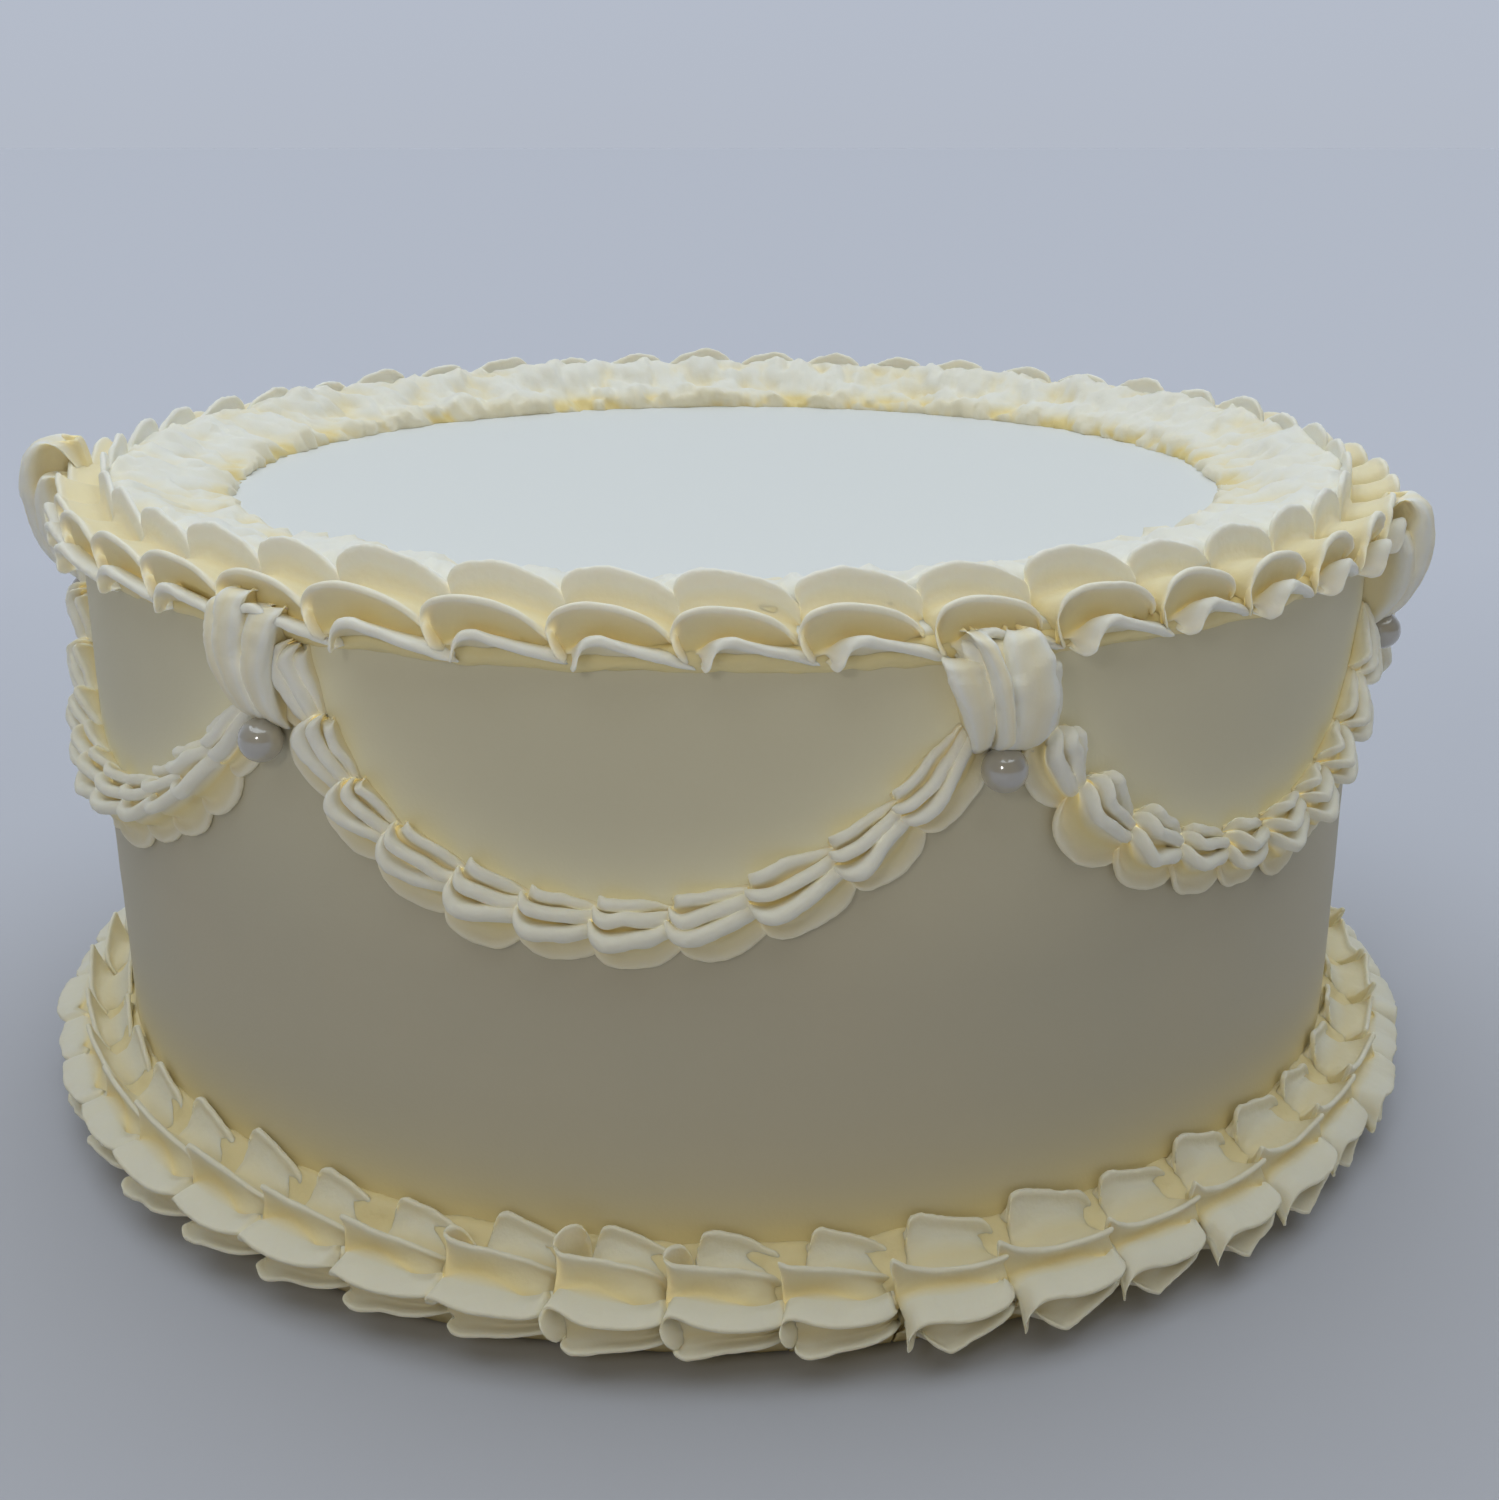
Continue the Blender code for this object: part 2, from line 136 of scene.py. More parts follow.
BASE_SHELL = {
    "rows": 36, "uneven": 0.05, "core": (131, 4),
    "spine": [
        (0, 0.16), (0.1, 0.12), (0.2, 0.15), (0.34, 0.28), (0.5, 0.47), (0.7, 0.72), (0.86, 0.93), (1, 1.1),
    ],
    "foot": [(134, 3.4), (132, 0.3), (129.5, 0.3), (125.6, 3), (125.6, 13)],
    "blades": [{
        "thick": 1, "root": (128.8, 8), "flank": 2.4, "face": 0.95, "valley": 0.35,
        "keys": [
            (0, 0.3, 129.4, 11), (0.12, 0.31, 129.2, 15), (0.2, 0.325, 128.7, 18.4),
            (0.25, 0.35, 128.4, 20), (0.31, 0.41, 128.2, 20.7), (0.45, 0.57, 128.2, 20.2),
            (0.62, 0.78, 128.3, 19), (0.8, 1, 128.5, 17), (0.92, 1.12, 128.8, 15.2), (1, 1.18, 129, 13)],
        "sagged": [
            (0, 0.24, 129.4, 11), (0.12, 0.25, 129.3, 15), (0.2, 0.26, 128.9, 18.4),
            (0.25, 0.28, 128.6, 20.2), (0.3, 0.35, 128.4, 20.6), (0.45, 0.55, 128.4, 19.8),
            (0.62, 0.78, 128.5, 18.8), (0.8, 1.02, 128.7, 17.6), (0.92, 1.12, 128.9, 15.6),
            (1, 1.18, 129, 13)],
        "groove": {
            "keys": [
                (0, 0.24, 130.6, 9), (0.2, 0.22, 132, 12.6), (0.4, 0.4, 132.5, 14.8),
                (0.8, 0.9, 132.3, 14.6), (1, 1.1, 131, 12.6)],
        },
    }, {
        "thick": 0.9, "root": (133, 9), "flank": 1.8, "face": 0.45, "valley": 0,
        "keys": [
            (0, 0.14, 132.8, 11), (0.06, 0.05, 135.4, 13.4), (0.11, 0, 136.5, 16),
            (0.16, -0.02, 137.1, 18.4), (0.21, 0.01, 137.2, 19.6), (0.28, 0.11, 137, 19.6),
            (0.4, 0.29, 136.8, 18.9), (0.55, 0.5, 136.4, 18.1), (0.7, 0.7, 136, 17.1),
            (0.83, 0.88, 135.4, 15.9), (0.93, 1.01, 134.4, 14.6), (1, 1.09, 132.6, 12.8)],
        "curled": [
            (0, 0.3, 130.4, 16), (0.05, 0.28, 130.9, 20), (0.1, 0.2, 131.7, 22.6), (0.15, 0.09, 133, 22.6),
            (0.2, 0.01, 134.4, 21), (0.26, 0.07, 135.1, 19.4), (0.34, 0.2, 135.2, 19),
            (0.5, 0.42, 135, 18.7), (0.7, 0.7, 134.7, 18), (0.83, 0.88, 134.1, 16.9),
            (0.93, 1.01, 133.4, 15.3), (1, 1.09, 132.4, 12.8)],
        "sagged": [
            (0, 0.14, 132.8, 11), (0.06, 0.05, 135.2, 13.4), (0.11, 0, 136.4, 15.8),
            (0.16, -0.03, 137.2, 18.2), (0.21, -0.01, 137.4, 19.2), (0.28, 0.1, 137.2, 17.7),
            (0.4, 0.29, 137.2, 16.4), (0.55, 0.5, 137.2, 15.8), (0.7, 0.72, 137.5, 16),
            (0.83, 0.92, 137.9, 16.8), (0.93, 1.03, 137.9, 17.1), (1, 1.1, 135.6, 15)],
        "groove": {
            "keys": [
                (0, 0.12, 134.2, 9.6), (0.08, 0.05, 136.6, 11.4), (0.15, 0.03, 137.2, 12.8),
                (0.25, 0.12, 136.2, 13.6), (0.4, 0.3, 135.5, 14), (0.55, 0.48, 135.9, 13.6),
                (0.68, 0.66, 136.9, 13), (0.8, 0.82, 138.4, 12.4), (0.92, 0.99, 139.4, 11.7),
                (1, 1.1, 137.4, 10.4)],
            "sagged": [
                (0, 0.1, 135, 10.6), (0.1, 0.04, 137, 12.2), (0.25, 0.14, 137, 12.8),
                (0.5, 0.5, 136.6, 12.9), (0.75, 0.8, 137.3, 12.9), (0.88, 0.97, 138.7, 12.5),
                (1, 1.12, 137.2, 11.4)],
        },
    }, {
        "thick": 0.9, "root": (133.6, 14.8), "flank": 4, "face": 1, "valley": 0.3,
        "keys": [
            (0, 0.1, 137.5, 9.6), (0.05, 0.03, 139.6, 10), (0.1, 0, 140.8, 10.8),
            (0.16, 0.03, 141.5, 11.8), (0.24, 0.12, 142, 12), (0.34, 0.26, 142.4, 11.7),
            (0.46, 0.43, 142.6, 11.5), (0.6, 0.61, 142.5, 11.5), (0.75, 0.8, 142.2, 11.7),
            (0.86, 0.93, 141.6, 11.9), (0.94, 1.02, 140.4, 11.8), (1, 1.08, 138, 10.6)],
        "curled": [
            (0, 0.16, 139, 7.4), (0.05, 0.1, 141, 7.4), (0.1, 0.02, 142, 9.2), (0.15, -0.02, 142, 11.6),
            (0.2, 0.02, 141.4, 13.4), (0.27, 0.12, 141.5, 13.6), (0.36, 0.27, 142.2, 12.7),
            (0.47, 0.44, 142.6, 12.1), (0.6, 0.61, 142.5, 11.8), (0.75, 0.8, 142.2, 11.8),
            (0.86, 0.93, 141.6, 11.9), (0.94, 1.02, 140.4, 11.8), (1, 1.08, 138, 10.6)],
        "sagged": [
            (0, 0.16, 139.4, 6.4), (0.05, 0.11, 141, 5.6), (0.1, 0.06, 142, 5.8), (0.15, 0.06, 142.2, 7.6),
            (0.2, 0.11, 142.3, 9.6), (0.27, 0.2, 142.4, 10.8), (0.36, 0.32, 142.6, 11),
            (0.48, 0.48, 142.8, 10.4), (0.6, 0.63, 142.8, 10.2), (0.75, 0.82, 142.6, 10.8),
            (0.86, 0.94, 141.9, 11.4), (0.94, 1.02, 140.4, 11.6), (1, 1.06, 138.4, 11.4)],
        "groove": {
            "keys": [
                (0, 0.14, 136.6, 6.6), (0.1, 0.1, 138.4, 7.8), (0.3, 0.28, 139.2, 9),
                (0.6, 0.6, 139.4, 9.2), (0.85, 0.92, 138.8, 9.2), (1, 1.1, 136.4, 8)],
        },
    }, {
        "thick": 0.9, "root": (134, 7), "pale": 0.35, "share": 0,
        "keys": [
            (0, 0.18, 137.6, 6.6), (0.08, 0.12, 140, 7.4), (0.14, 0.13, 141.2, 7.2),
            (0.22, 0.23, 142, 6.2), (0.32, 0.35, 141.9, 6.2), (0.45, 0.5, 141.6, 6.8),
            (0.65, 0.73, 141.4, 7.2), (0.8, 0.91, 140.8, 7.6), (0.92, 1.05, 139.4, 7.8),
            (1, 1.14, 137, 7.2)],
        "curled": [
            (0, 0.42, 139.8, 5.6), (0.06, 0.36, 141.2, 5), (0.12, 0.24, 142, 4.6),
            (0.18, 0.14, 142.2, 5.2), (0.23, 0.13, 142, 6.6), (0.3, 0.22, 141.8, 7.2),
            (0.42, 0.4, 141.8, 7), (0.6, 0.64, 141.6, 7.2), (0.8, 0.9, 140.8, 7.8), (1, 1.14, 136.8, 7.6)],
        "sagged": [
            (0, 0.24, 138.4, 7.4), (0.08, 0.21, 140.2, 7.4), (0.16, 0.28, 141.4, 6.4),
            (0.24, 0.38, 142, 5.2), (0.3, 0.44, 142.2, 4.7), (0.36, 0.5, 142.1, 5),
            (0.48, 0.62, 141.8, 6.1), (0.62, 0.76, 141.5, 6.9), (0.78, 0.92, 140.8, 7.8),
            (0.9, 1.04, 139.4, 8.2), (1, 1.12, 137.4, 7.8)],
    }],
}

SWAG_SHELL = {
    "rows": 30, "uneven": 0.11, "round": True, "ends": 0.1, "core": (-0.4, -0.2),
    "spine": [(0, 0.04), (0.1, 0.06), (0.2, 0.12), (0.38, 0.3), (0.5, 0.47), (0.77, 0.8), (1, 1.2)],
    "foot": [(3, -0.5), (0, -0.8), (-3, -0.5)],
    "blades": [{
        "thick": 1.3, "root": (-1, -0.5), "flank": 2.2, "tip": 0.62, "face": 0.3, "valley": 0.05,
        "late": -0.01,
        "keys": [
            (0, 0.05, -1.6, 0.3), (0.08, 0.05, -3.4, 1.2), (0.17, 0.08, -4.8, 1.7),
            (0.28, 0.17, -5.8, 1.7), (0.42, 0.36, -6.5, 1.4), (0.6, 0.6, -6.6, 1.2), (0.8, 0.88, -6, 1),
            (0.92, 1.06, -4.8, 0.8), (1, 1.18, -3.4, 0.4)],
        "groove": {
            "keys": [
                (0, 0.03, -0.8, 0.6), (0.1, 0.04, -1.8, 3), (0.2, 0.09, -2.5, 3.7), (0.4, 0.33, -2.9, 3.3),
                (0.65, 0.66, -2.7, 2.5), (0.85, 0.94, -2.2, 1.7), (1, 1.19, -1.5, 0.7)],
        },
    }, {
        "thick": 2, "root": (-0.8, -0.5), "share": 0.6, "swept": 1, "late": 0,
        "keys": [
            (0, -0.01, 0.2, 0.6), (0.06, -0.02, 0.1, 2.8), (0.12, 0, -0.1, 4.7), (0.19, 0.05, -0.4, 5.9),
            (0.29, 0.16, -0.9, 6.7), (0.45, 0.37, -1.1, 6.6), (0.62, 0.63, -0.7, 5.6),
            (0.8, 0.88, -0.3, 4.3), (1, 1.2, 0.1, 1.6)],
    }, {
        "thick": 1.7, "root": (0.6, -0.5), "share": 0.62, "swept": 0.55, "late": 0.03,
        "keys": [
            (0, 0.01, 1.8, 0.5), (0.06, 0, 2.3, 2.5), (0.12, 0.02, 2.7, 4.1), (0.19, 0.07, 2.7, 5.3),
            (0.3, 0.18, 2.3, 6.1), (0.46, 0.41, 2, 5.6), (0.64, 0.68, 1.9, 4.7), (0.82, 0.93, 1.6, 3.5),
            (1, 1.2, 1.2, 1.3)],
    }, {
        "thick": 1.5, "root": (1.6, 0), "share": 0, "swept": 0.15, "late": 0.06,
        "keys": [
            (0, 0.07, 2.8, 0.3), (0.06, 0.07, 3.8, 1.6), (0.12, 0.09, 4.5, 2.8), (0.18, 0.13, 4.8, 3.6),
            (0.28, 0.23, 4.8, 4.2), (0.42, 0.41, 4.5, 3.9), (0.6, 0.65, 4.1, 2.9), (0.8, 0.91, 3.3, 1.8),
            (1, 1.2, 1.8, 0.4)],
    }],
}

# The petals of each kind of bow, from its top down: keys (time, place in bow heights, middle
# across, how far the crest stands out, half the width), the last three in mm. The first kind faces
# the front right, the second the front left, and the third stands up at the sides.
BOW_KINDS = (
    ((
        (0, 0.27, -7.4, 0.6, 0.9), (0.05, 0.22, -7.7, 4.2, 2.2), (0.12, 0.23, -7.8, 6.6, 2.9),
        (0.24, 0.32, -7.3, 8, 3), (0.4, 0.47, -6.4, 8.7, 2.8), (0.56, 0.62, -5.5, 8.4, 2.4),
        (0.72, 0.78, -4.7, 7.2, 1.9), (0.86, 0.9, -4, 5.4, 1.4), (1, 1.02, -3.2, 1.6, 0.8),
    ), (
        (0, 0.11, 1.2, 0.6, 0.8), (0.05, 0.04, 1, 4.6, 1.6), (0.12, 0.05, 1, 7, 2.7),
        (0.24, 0.17, 1.2, 8.8, 3.5), (0.38, 0.34, 1.6, 9.9, 3.8), (0.54, 0.52, 2, 10.1, 3.8),
        (0.7, 0.7, 2.2, 9.4, 3.6), (0.84, 0.86, 2.1, 7.6, 3.1), (0.94, 0.96, 1.9, 5, 2.4),
        (1, 1.02, 1.6, 1.6, 1.5),
    ), (
        (0, 0.08, -6.4, 0.6, 0.6), (0.05, 0.02, -6.3, 4.6, 1.1), (0.12, 0.03, -6, 7.8, 1.2),
        (0.24, 0.13, -4.9, 10.2, 1.2), (0.38, 0.29, -3.8, 11.4, 1.2), (0.54, 0.48, -3.1, 11.7, 1.1),
        (0.7, 0.67, -2.3, 10.9, 1), (0.84, 0.84, -1.4, 8.8, 0.9), (1, 1, -0.7, 3, 0.6),
    ), (
        (0, 0.12, -2.6, 0.6, 3.2), (0.1, 0.1, -2.7, 4.6, 4.4), (0.3, 0.26, -2.6, 7, 4.6),
        (0.55, 0.52, -1.8, 7.6, 4.2), (0.8, 0.8, -1.2, 5.4, 3), (1, 1, -0.6, 1.2, 1.6),
    )),
    ((
        (0, 0.14, -6, 0.6, 0.8), (0.05, 0.09, -6.4, 4.2, 1.8), (0.12, 0.1, -6.8, 6.6, 2.3),
        (0.24, 0.2, -7, 8.4, 2.5), (0.4, 0.38, -6.6, 9.6, 2.5), (0.56, 0.56, -5.6, 9.6, 2.2),
        (0.72, 0.75, -4.6, 8.2, 1.8), (0.86, 0.9, -3.6, 5.6, 1.4), (1, 1.02, -2.8, 1.6, 0.8),
    ), (
        (0, 0.17, 5, 0.6, 1.2), (0.05, 0.1, 5.4, 4.2, 2.6), (0.12, 0.12, 5.4, 6.8, 3.1),
        (0.24, 0.22, 4.6, 8.8, 3.2), (0.4, 0.4, 3.6, 9.8, 2.9), (0.56, 0.58, 3, 9.6, 2.6),
        (0.72, 0.76, 2.9, 8.2, 2.3), (0.86, 0.91, 3.2, 5.8, 2), (1, 1.03, 3.4, 1.6, 1),
    ), (
        (0, 0.05, -1.2, 0.6, 1.4), (0.05, 0, -1.2, 5, 2.6), (0.12, 0.01, -1.4, 7.6, 3.1),
        (0.24, 0.11, -1.8, 9.8, 3.2), (0.38, 0.28, -2, 11, 3.1), (0.54, 0.48, -1.8, 11, 2.8),
        (0.7, 0.68, -1.2, 10, 2.5), (0.84, 0.85, -0.6, 7.8, 2), (1, 1, 0, 2.6, 1.1),
    ), (
        (0, 0.12, -0.6, 0.6, 4), (0.1, 0.1, -0.8, 4.6, 5.6), (0.3, 0.26, -1, 7.4, 5.6),
        (0.55, 0.52, -0.8, 8, 4.8), (0.8, 0.8, 0, 5.4, 3.4), (1, 1, 0.2, 1.2, 1.8),
    )),
    ((
        (0, 0.42, 0, 0.4, 2.6), (0.06, 0.22, 0, 1.6, 3.6), (0.13, 0.05, 0, 4.2, 4.4), (0.2, 0, 0, 7, 4.7),
        (0.3, 0.06, 0, 9.8, 4.8), (0.45, 0.26, 0.1, 11.4, 4.7), (0.6, 0.48, 0.2, 11.2, 4.2),
        (0.75, 0.7, 0.2, 9.6, 3.4), (0.88, 0.88, 0.1, 6.6, 2.4), (1, 1.02, 0, 1.6, 1.2),
    ), (
        (0, 0.46, -3.8, 0.4, 1.4), (0.07, 0.34, -4.4, 2.2, 1.9), (0.15, 0.25, -4.9, 4.4, 2.2),
        (0.24, 0.23, -5.2, 6.4, 2.4), (0.36, 0.33, -5.2, 8, 2.4), (0.5, 0.48, -4.8, 8.6, 2.3),
        (0.65, 0.64, -4.2, 8, 2.1), (0.8, 0.81, -3.4, 6.2, 1.8), (0.92, 0.95, -2.6, 3.4, 1.4),
        (1, 1.03, -2, 1.2, 0.8),
    ), (
        (0, 0.44, 4, 0.4, 1.4), (0.07, 0.31, 4.6, 2.2, 2), (0.15, 0.22, 5, 4.6, 2.4),
        (0.24, 0.2, 5.2, 6.6, 2.5), (0.36, 0.3, 5, 8.2, 2.5), (0.5, 0.46, 4.6, 8.8, 2.4),
        (0.65, 0.63, 4, 8.2, 2.2), (0.8, 0.8, 3.2, 6.4, 1.8), (0.92, 0.95, 2.6, 3.4, 1.4),
        (1, 1.03, 2.2, 1.2, 0.8),
    )),
)
# Half of a petal's outline, from its back on the wall to its crest: share of its half width, how
# far out it lies between the wall and the crest, and how pale it is there; the less pale, the more
# painted yellow shade, as on its back and crest
PETAL_OUTLINE = (
    (0.45, 0.0, 0.3), (0.60, 0.44, 0.35), (0.93, 0.64, 0.6), (1.0, 0.78, 0.95), (0.88, 0.89, 1.0),
    (0.5, 0.975, 0.65),
)
PETAL_CREST = (0.0, 1.0, 0.5)
PETAL_BACK = (0.0, 0.0, 0.3)
# Each bow's top and bottom height, how far it stands out and its kind, from the front right one on
BOWS = (
    (117.8, 98.2, 0.98, 0), (121.4, 97.0, 0.98, 2), (119.0, 98.5, 1.0, 0), (121.0, 98.5, 1.05, 2),
    (119.0, 98.0, 1.0, 0), (126.8, 97.0, 1.24, 2), (119.5, 98.0, 0.80, 1),
)
BOW_ROWS = 44
BOW_CROWDING = 0.5
BOW_STEPS = 3
# A petal's back is sunk into the wall and stands free higher up: from what height, over what
# height, and how far out the back then lies
BOW_FREE_HEIGHT = 114.0
BOW_FREE_SPAN = 5.0
BOW_SUNK = 0.8
BOW_FREE_BACK = 0.3
# Roughness and lumps of the petals: closeness, and height in mm; how the noise runs along a petal;
# and the half width, in mm, at which it counts in full
BOW_ROUGH = (1.4, 0.34)
BOW_LUMP = (0.35, 0.6)
BOW_NOISE_ALONG = 20.0
BOW_ROUGH_WIDTH = 4.0

# How far a shell's rows crowd to its head, the points that each point of its section becomes, and
# how uneven the spacing is in a border and in a swag
SHELL_CROWDING = 0.45
SHELL_STEPS = 2
RING_UNEVEN = 0.08
SWAG_UNEVEN = 0.15
# How a shell's blades differ: share of the unevenness, shift along the row, and one soft bulge
BLADE_UNEVEN = 0.7
BLADE_SHIFT = 0.03
BULGE_PLACES = (0.15, 0.9)
BULGE_WIDTHS = (0.08, 0.2)
BULGE = 7.0
# Times over which heads and their grooves fill out, the tail narrows, and sweep and shift fade
HEAD = 0.22
ROUND_HEAD = 0.16
ROUND_LEAST = 0.05
ROUND_GROOVE = 0.24
ROUND_FILL = 0.95
TAIL_START = 0.82
TAIL = 0.18
SWEPT = 0.42
LATE = 0.55
# A blade's section: shares of its thickness at the flank and by the rim, and of its depth
FLANK_HALF = 0.52
RIM_HALF = 0.50
RIM_DEPTH = 0.36
RIM_ENDS = 0.7
THICK_LIMIT = 0.6
FLANK_LIMIT = 0.5
PLAIN_ENDS = 0.75
PLAIN_FLANK = 2.4
# Paleness: of plain faces, beside a blade's edge, of the foot, of the fillings; the less pale, the
# more painted yellow shade, as in creases, under the shells and between them
FACE_PALE = 0.55
RIM_PALE = 0.95
FOOT_PALE = 0.1
FILLING_PALE = 0.12
# Fine roughness of edges and broad lumps, in mm, and how close together they are
RAGGED = 0.20
RAGGED_SCALE = 900.0
LUMP = 0.35
LUMP_SCALE = 0.25
LUMP_SHIFT = Vector((7.0, 3.0, 1.0))
NOISE_SPAN = 100.0

# Where the borders run, and how much higher the top border is at the back
TOP_RADIUS = 127.0 * MM
BASE_RADIUS = 135.0 * MM
BACK_LIFT = 0.30
# Radius and height, in mm, round the sections of the top border's inner slope and of the icing
# behind the top shells and the foot shells
CREAM_SECTION = (
    (99.4, 116.4), (99.6, 118.2), (101.6, 119.4), (105.0, 120.2), (109.0, 120.9), (113.0, 121.7),
    (117.0, 122.6), (120.4, 122.6), (122.0, 120.6), (121.5, 117.0), (117.0, 115.6), (104.0, 115.6),
)
TOP_FILLING = (
    (126.2, 111.5), (127.9, 111.9), (128.9, 113.2), (128.7, 114.5), (127.6, 115.6), (125.0, 115.8),
    (124.0, 114.0),
)
BASE_FILLING = (
    (126.0, 1.0), (130.8, 1.0), (133.6, 4.6), (135.8, 8.6), (135.2, 12.0), (133.2, 13.2),
    (131.0, 14.0), (129.4, 15.6), (127.8, 16.8), (126.0, 16.8), (125.6, 9.0),
)
RING_SEGMENTS = 720
RING_STEPS = 2
# Lumps of the rings: how close together, and how high in mm
RING_LUMPS = ((0.12, 1.8), (0.27, 1.3), (0.7, 0.5))
FILLING_LUMP_IN = 0.25
FILLING_LUMP_UP = 0.45
CREAM_LUMP_IN = 0.6
CREAM_EDGE = (100.0, 5.0)
CREAM_EDGE_LUMP = (0.45, 1.6)
CREAM_FOOT = (116.4, 1.5)
CREAM_CREST = (108.0, 8.0)
CREAM_BACK_RISE = 4.5
# Paleness of the inner slope, and the painted yellow shade at its lower edge and in its hollows
CREAM_PALE = 0.80
CREAM_EDGE_SHADE = 0.20
CREAM_HOLLOW_SHADE = 0.30
CREAM_EDGE_HOLLOW_SHADE = 0.5

# Foot shells, in degrees: where they start to sag and over how far, and backwards from the back
SAG_START = (2.0, 10.0)
SAG_END = (-170.0, 20.0)
# Where the upper blades' heads are rolled back most, where the outer ones' start and ease off
UPPER_CURL = (-11.0, 11.0)
UPPER_CURL_MORE = 0.25
OUTER_CURL = (-21.0, 7.0)
OUTER_CURL_EASE = (5.0, 20.0)
OUTER_CURL_LESS = 0.35
OUTER_CURL_RANGE = (0.85, 1.0)
OUTER_CURL_MORE = 0.12
LOWER_CURLS = (0.0, 0.1, 0.2, 0.9)
LOWER_CURL_LEAST = (0.3, 0.7)
NO_CURLS = (0.0,) * 4

# Swags: thickness of the first and last shell, how much smaller those at the ends are, the
# swag's width, and how much of its line the shells take
SWAG_PLUMP = (1.0, 0.9)
SWAG_SMALL_ENDS = 0.2
SWAG_WIDTH = 1.16
SWAG_FILLED = 0.98
# How far the heads are swept in each swag, at its first and last shell, from the front swag on
SWAG_SWIRLS = ((1.8, 0.4), (1.6, 0.4), (3.0, 0.4), (3.6, 0.6), (2.4, 0.4), (3.4, 0.6), (3.0, 0.4))

# The smooth drum: its points round and up, its rounded edge, and where the piping's light falls
CAKE_SEGMENTS = 400
TOP_STEPS = 36
TOP_SHARE = 0.985
EDGE_STEPS = 5
WALL_STEPS = 90
EDGE_ROUND = 1.5 * MM
WALL_FOOT = 10.0 * MM
GLOW_STEPS = 90
SWAG_EDGE = 3.5 * MM
SWAG_GLOW = 6.5 * MM
BASE_EDGE = 19.0 * MM
BASE_GLOW = 6.0 * MM
# Waves of the wall and the top: how close together round and up the wall, and how deep
BROAD_WAVE = (2.2, 18.0, 0.28 * MM)
BAND_WAVE = (3.0, 160.0, 0.07 * MM)
TOP_WAVE = (14.0, 3.0, 0.12)
PEARL_SEGMENTS = 48

# Colours, in linear light
# Piping colours, low and high: darker and warmer lower down is painted shade; the yellow grooves are painted
# shade in the creases
RIDGE_LOW_SHADE, RIDGE_HIGH_LIT = (0.81, 0.775, 0.63), (0.95, 0.935, 0.85)
GROOVE_LOW_SHADE, GROOVE_HIGH_SHADE = (0.83, 0.70, 0.37), (0.93, 0.77, 0.36)
# Wall colours: dimmer and warmer than the top is painted shade, lighter high up is painted light
LOW_WALL_SHADE = ((0.565, 0.52, 0.395), (0.59, 0.53, 0.395))
HIGH_WALL_SHADE_AND_GLOW = ((0.75, 0.69, 0.495), (0.79, 0.725, 0.52))
# Painted light that the piping throws on the wall, just over the base border and over each swag
PAINTED_LIGHT_OVER_BASE, PAINTED_LIGHT_OVER_SWAG = (0.84, 0.72, 0.40), (1.0, 0.94, 0.68)
CAKE_TOP = (0.84, 0.85, 0.82)
# The floor's colour near and far; its paling towards the back is painted light
FLOOR_NEAR, FLOOR_FAR = (0.48, 0.485, 0.53), (0.64, 0.65, 0.72)
ROOM_LEFT, ROOM_RIGHT = (0.19, 0.19, 0.18), (0.12, 0.125, 0.13)
ROOM_FRONT = (0.20, 0.165, 0.092)
ROOM_LOW, ROOM_HIGH = (0.456, 0.494, 0.572), (0.47, 0.52, 0.62)
# Heights between which the icing's colours change from darker, painted shade low down to paler higher up,
# the closeness of its clouds and how they mottle it, where groove turns to ridge, and the closeness,
# strength, depth and detail of its grain
PIPED_HEIGHTS, WALL_HEIGHTS = (0.040, 0.104), (0.060, 0.112)
PIPED_CLOUDS, SMOOTH_CLOUDS = 60.0, 25.0
MOTTLED = (0.30, 0.70)
PROUD = (0.13, 0.93)
CLOUD_ADDS = 0.16
PIPED_GRAIN, SMOOTH_GRAIN = (520.0, 0.65), (1400.0, 0.15)
GRAIN_DEPTH = 0.0003
GRAIN_DETAIL = 4.0
# Surfaces, by the names of their shader's sockets
PIPED_SHADER = {
    "Roughness": 0.48, "Specular IOR Level": 0.35, "Subsurface Weight": 1.0,
    "Subsurface Radius": (1.0, 0.85, 0.55), "Subsurface Scale": 0.0009,
}
SMOOTH_SHADER = {"Roughness": 0.55, "Specular IOR Level": 0.30}
PEARL_SHADER = {
    "Base Color": (0.47, 0.44, 0.39, 1.0), "Roughness": 0.28, "Subsurface Weight": 0.4,
    "Subsurface Radius": (1.0, 0.9, 0.9), "Subsurface Scale": 0.001,
    "Coat Weight": 1.0, "Coat Roughness": 0.09, "Coat IOR": 2.4,
}
FLOOR_SHADER = {"Roughness": 1.0, "Specular IOR Level": 0.0}
# The floor's size, how far below the cake it lies, and where it pales towards the back, which is
# painted light
FLOOR_SIZE = 40.0
FLOOR_DROP = 0.0004
FLOOR_SPAN = (-0.25, 0.45)
# Where the surroundings change: from the front to the sides, on to the back, from left to right, up
FRONT_SPAN, BACK_SPAN, SIDE_SPAN, UP_SPAN = (-0.8, 0.0), (0.0, 0.8), (-0.4, 0.8), (0.0, 0.2)
# The broad light overhead, and the small lamp in front
SUN_STRENGTH, SUN_ANGLE, SUN_TILT = 1.65, math.radians(85.0), math.radians(-4.0)
SUN_COLOUR = (0.84, 0.93, 1.0)
LAMP_POWER, LAMP_RADIUS, LAMP_PLACE = 0.45, 0.035, (-0.11, -0.45, 0.27)

# One shell in a row: its start and length, in metres; how far, in mm, its head is swept across the
# row; its scale; its blades' thickness; its sag; how far each head is rolled back
Shell = namedtuple("Shell", "start length swirl size plump sag curls")


def smooth(value):
    """Eases a share from 0 to 1."""
    value = np.clip(value, 0.0, 1.0)
    return value * value * (3.0 - 2.0 * value)


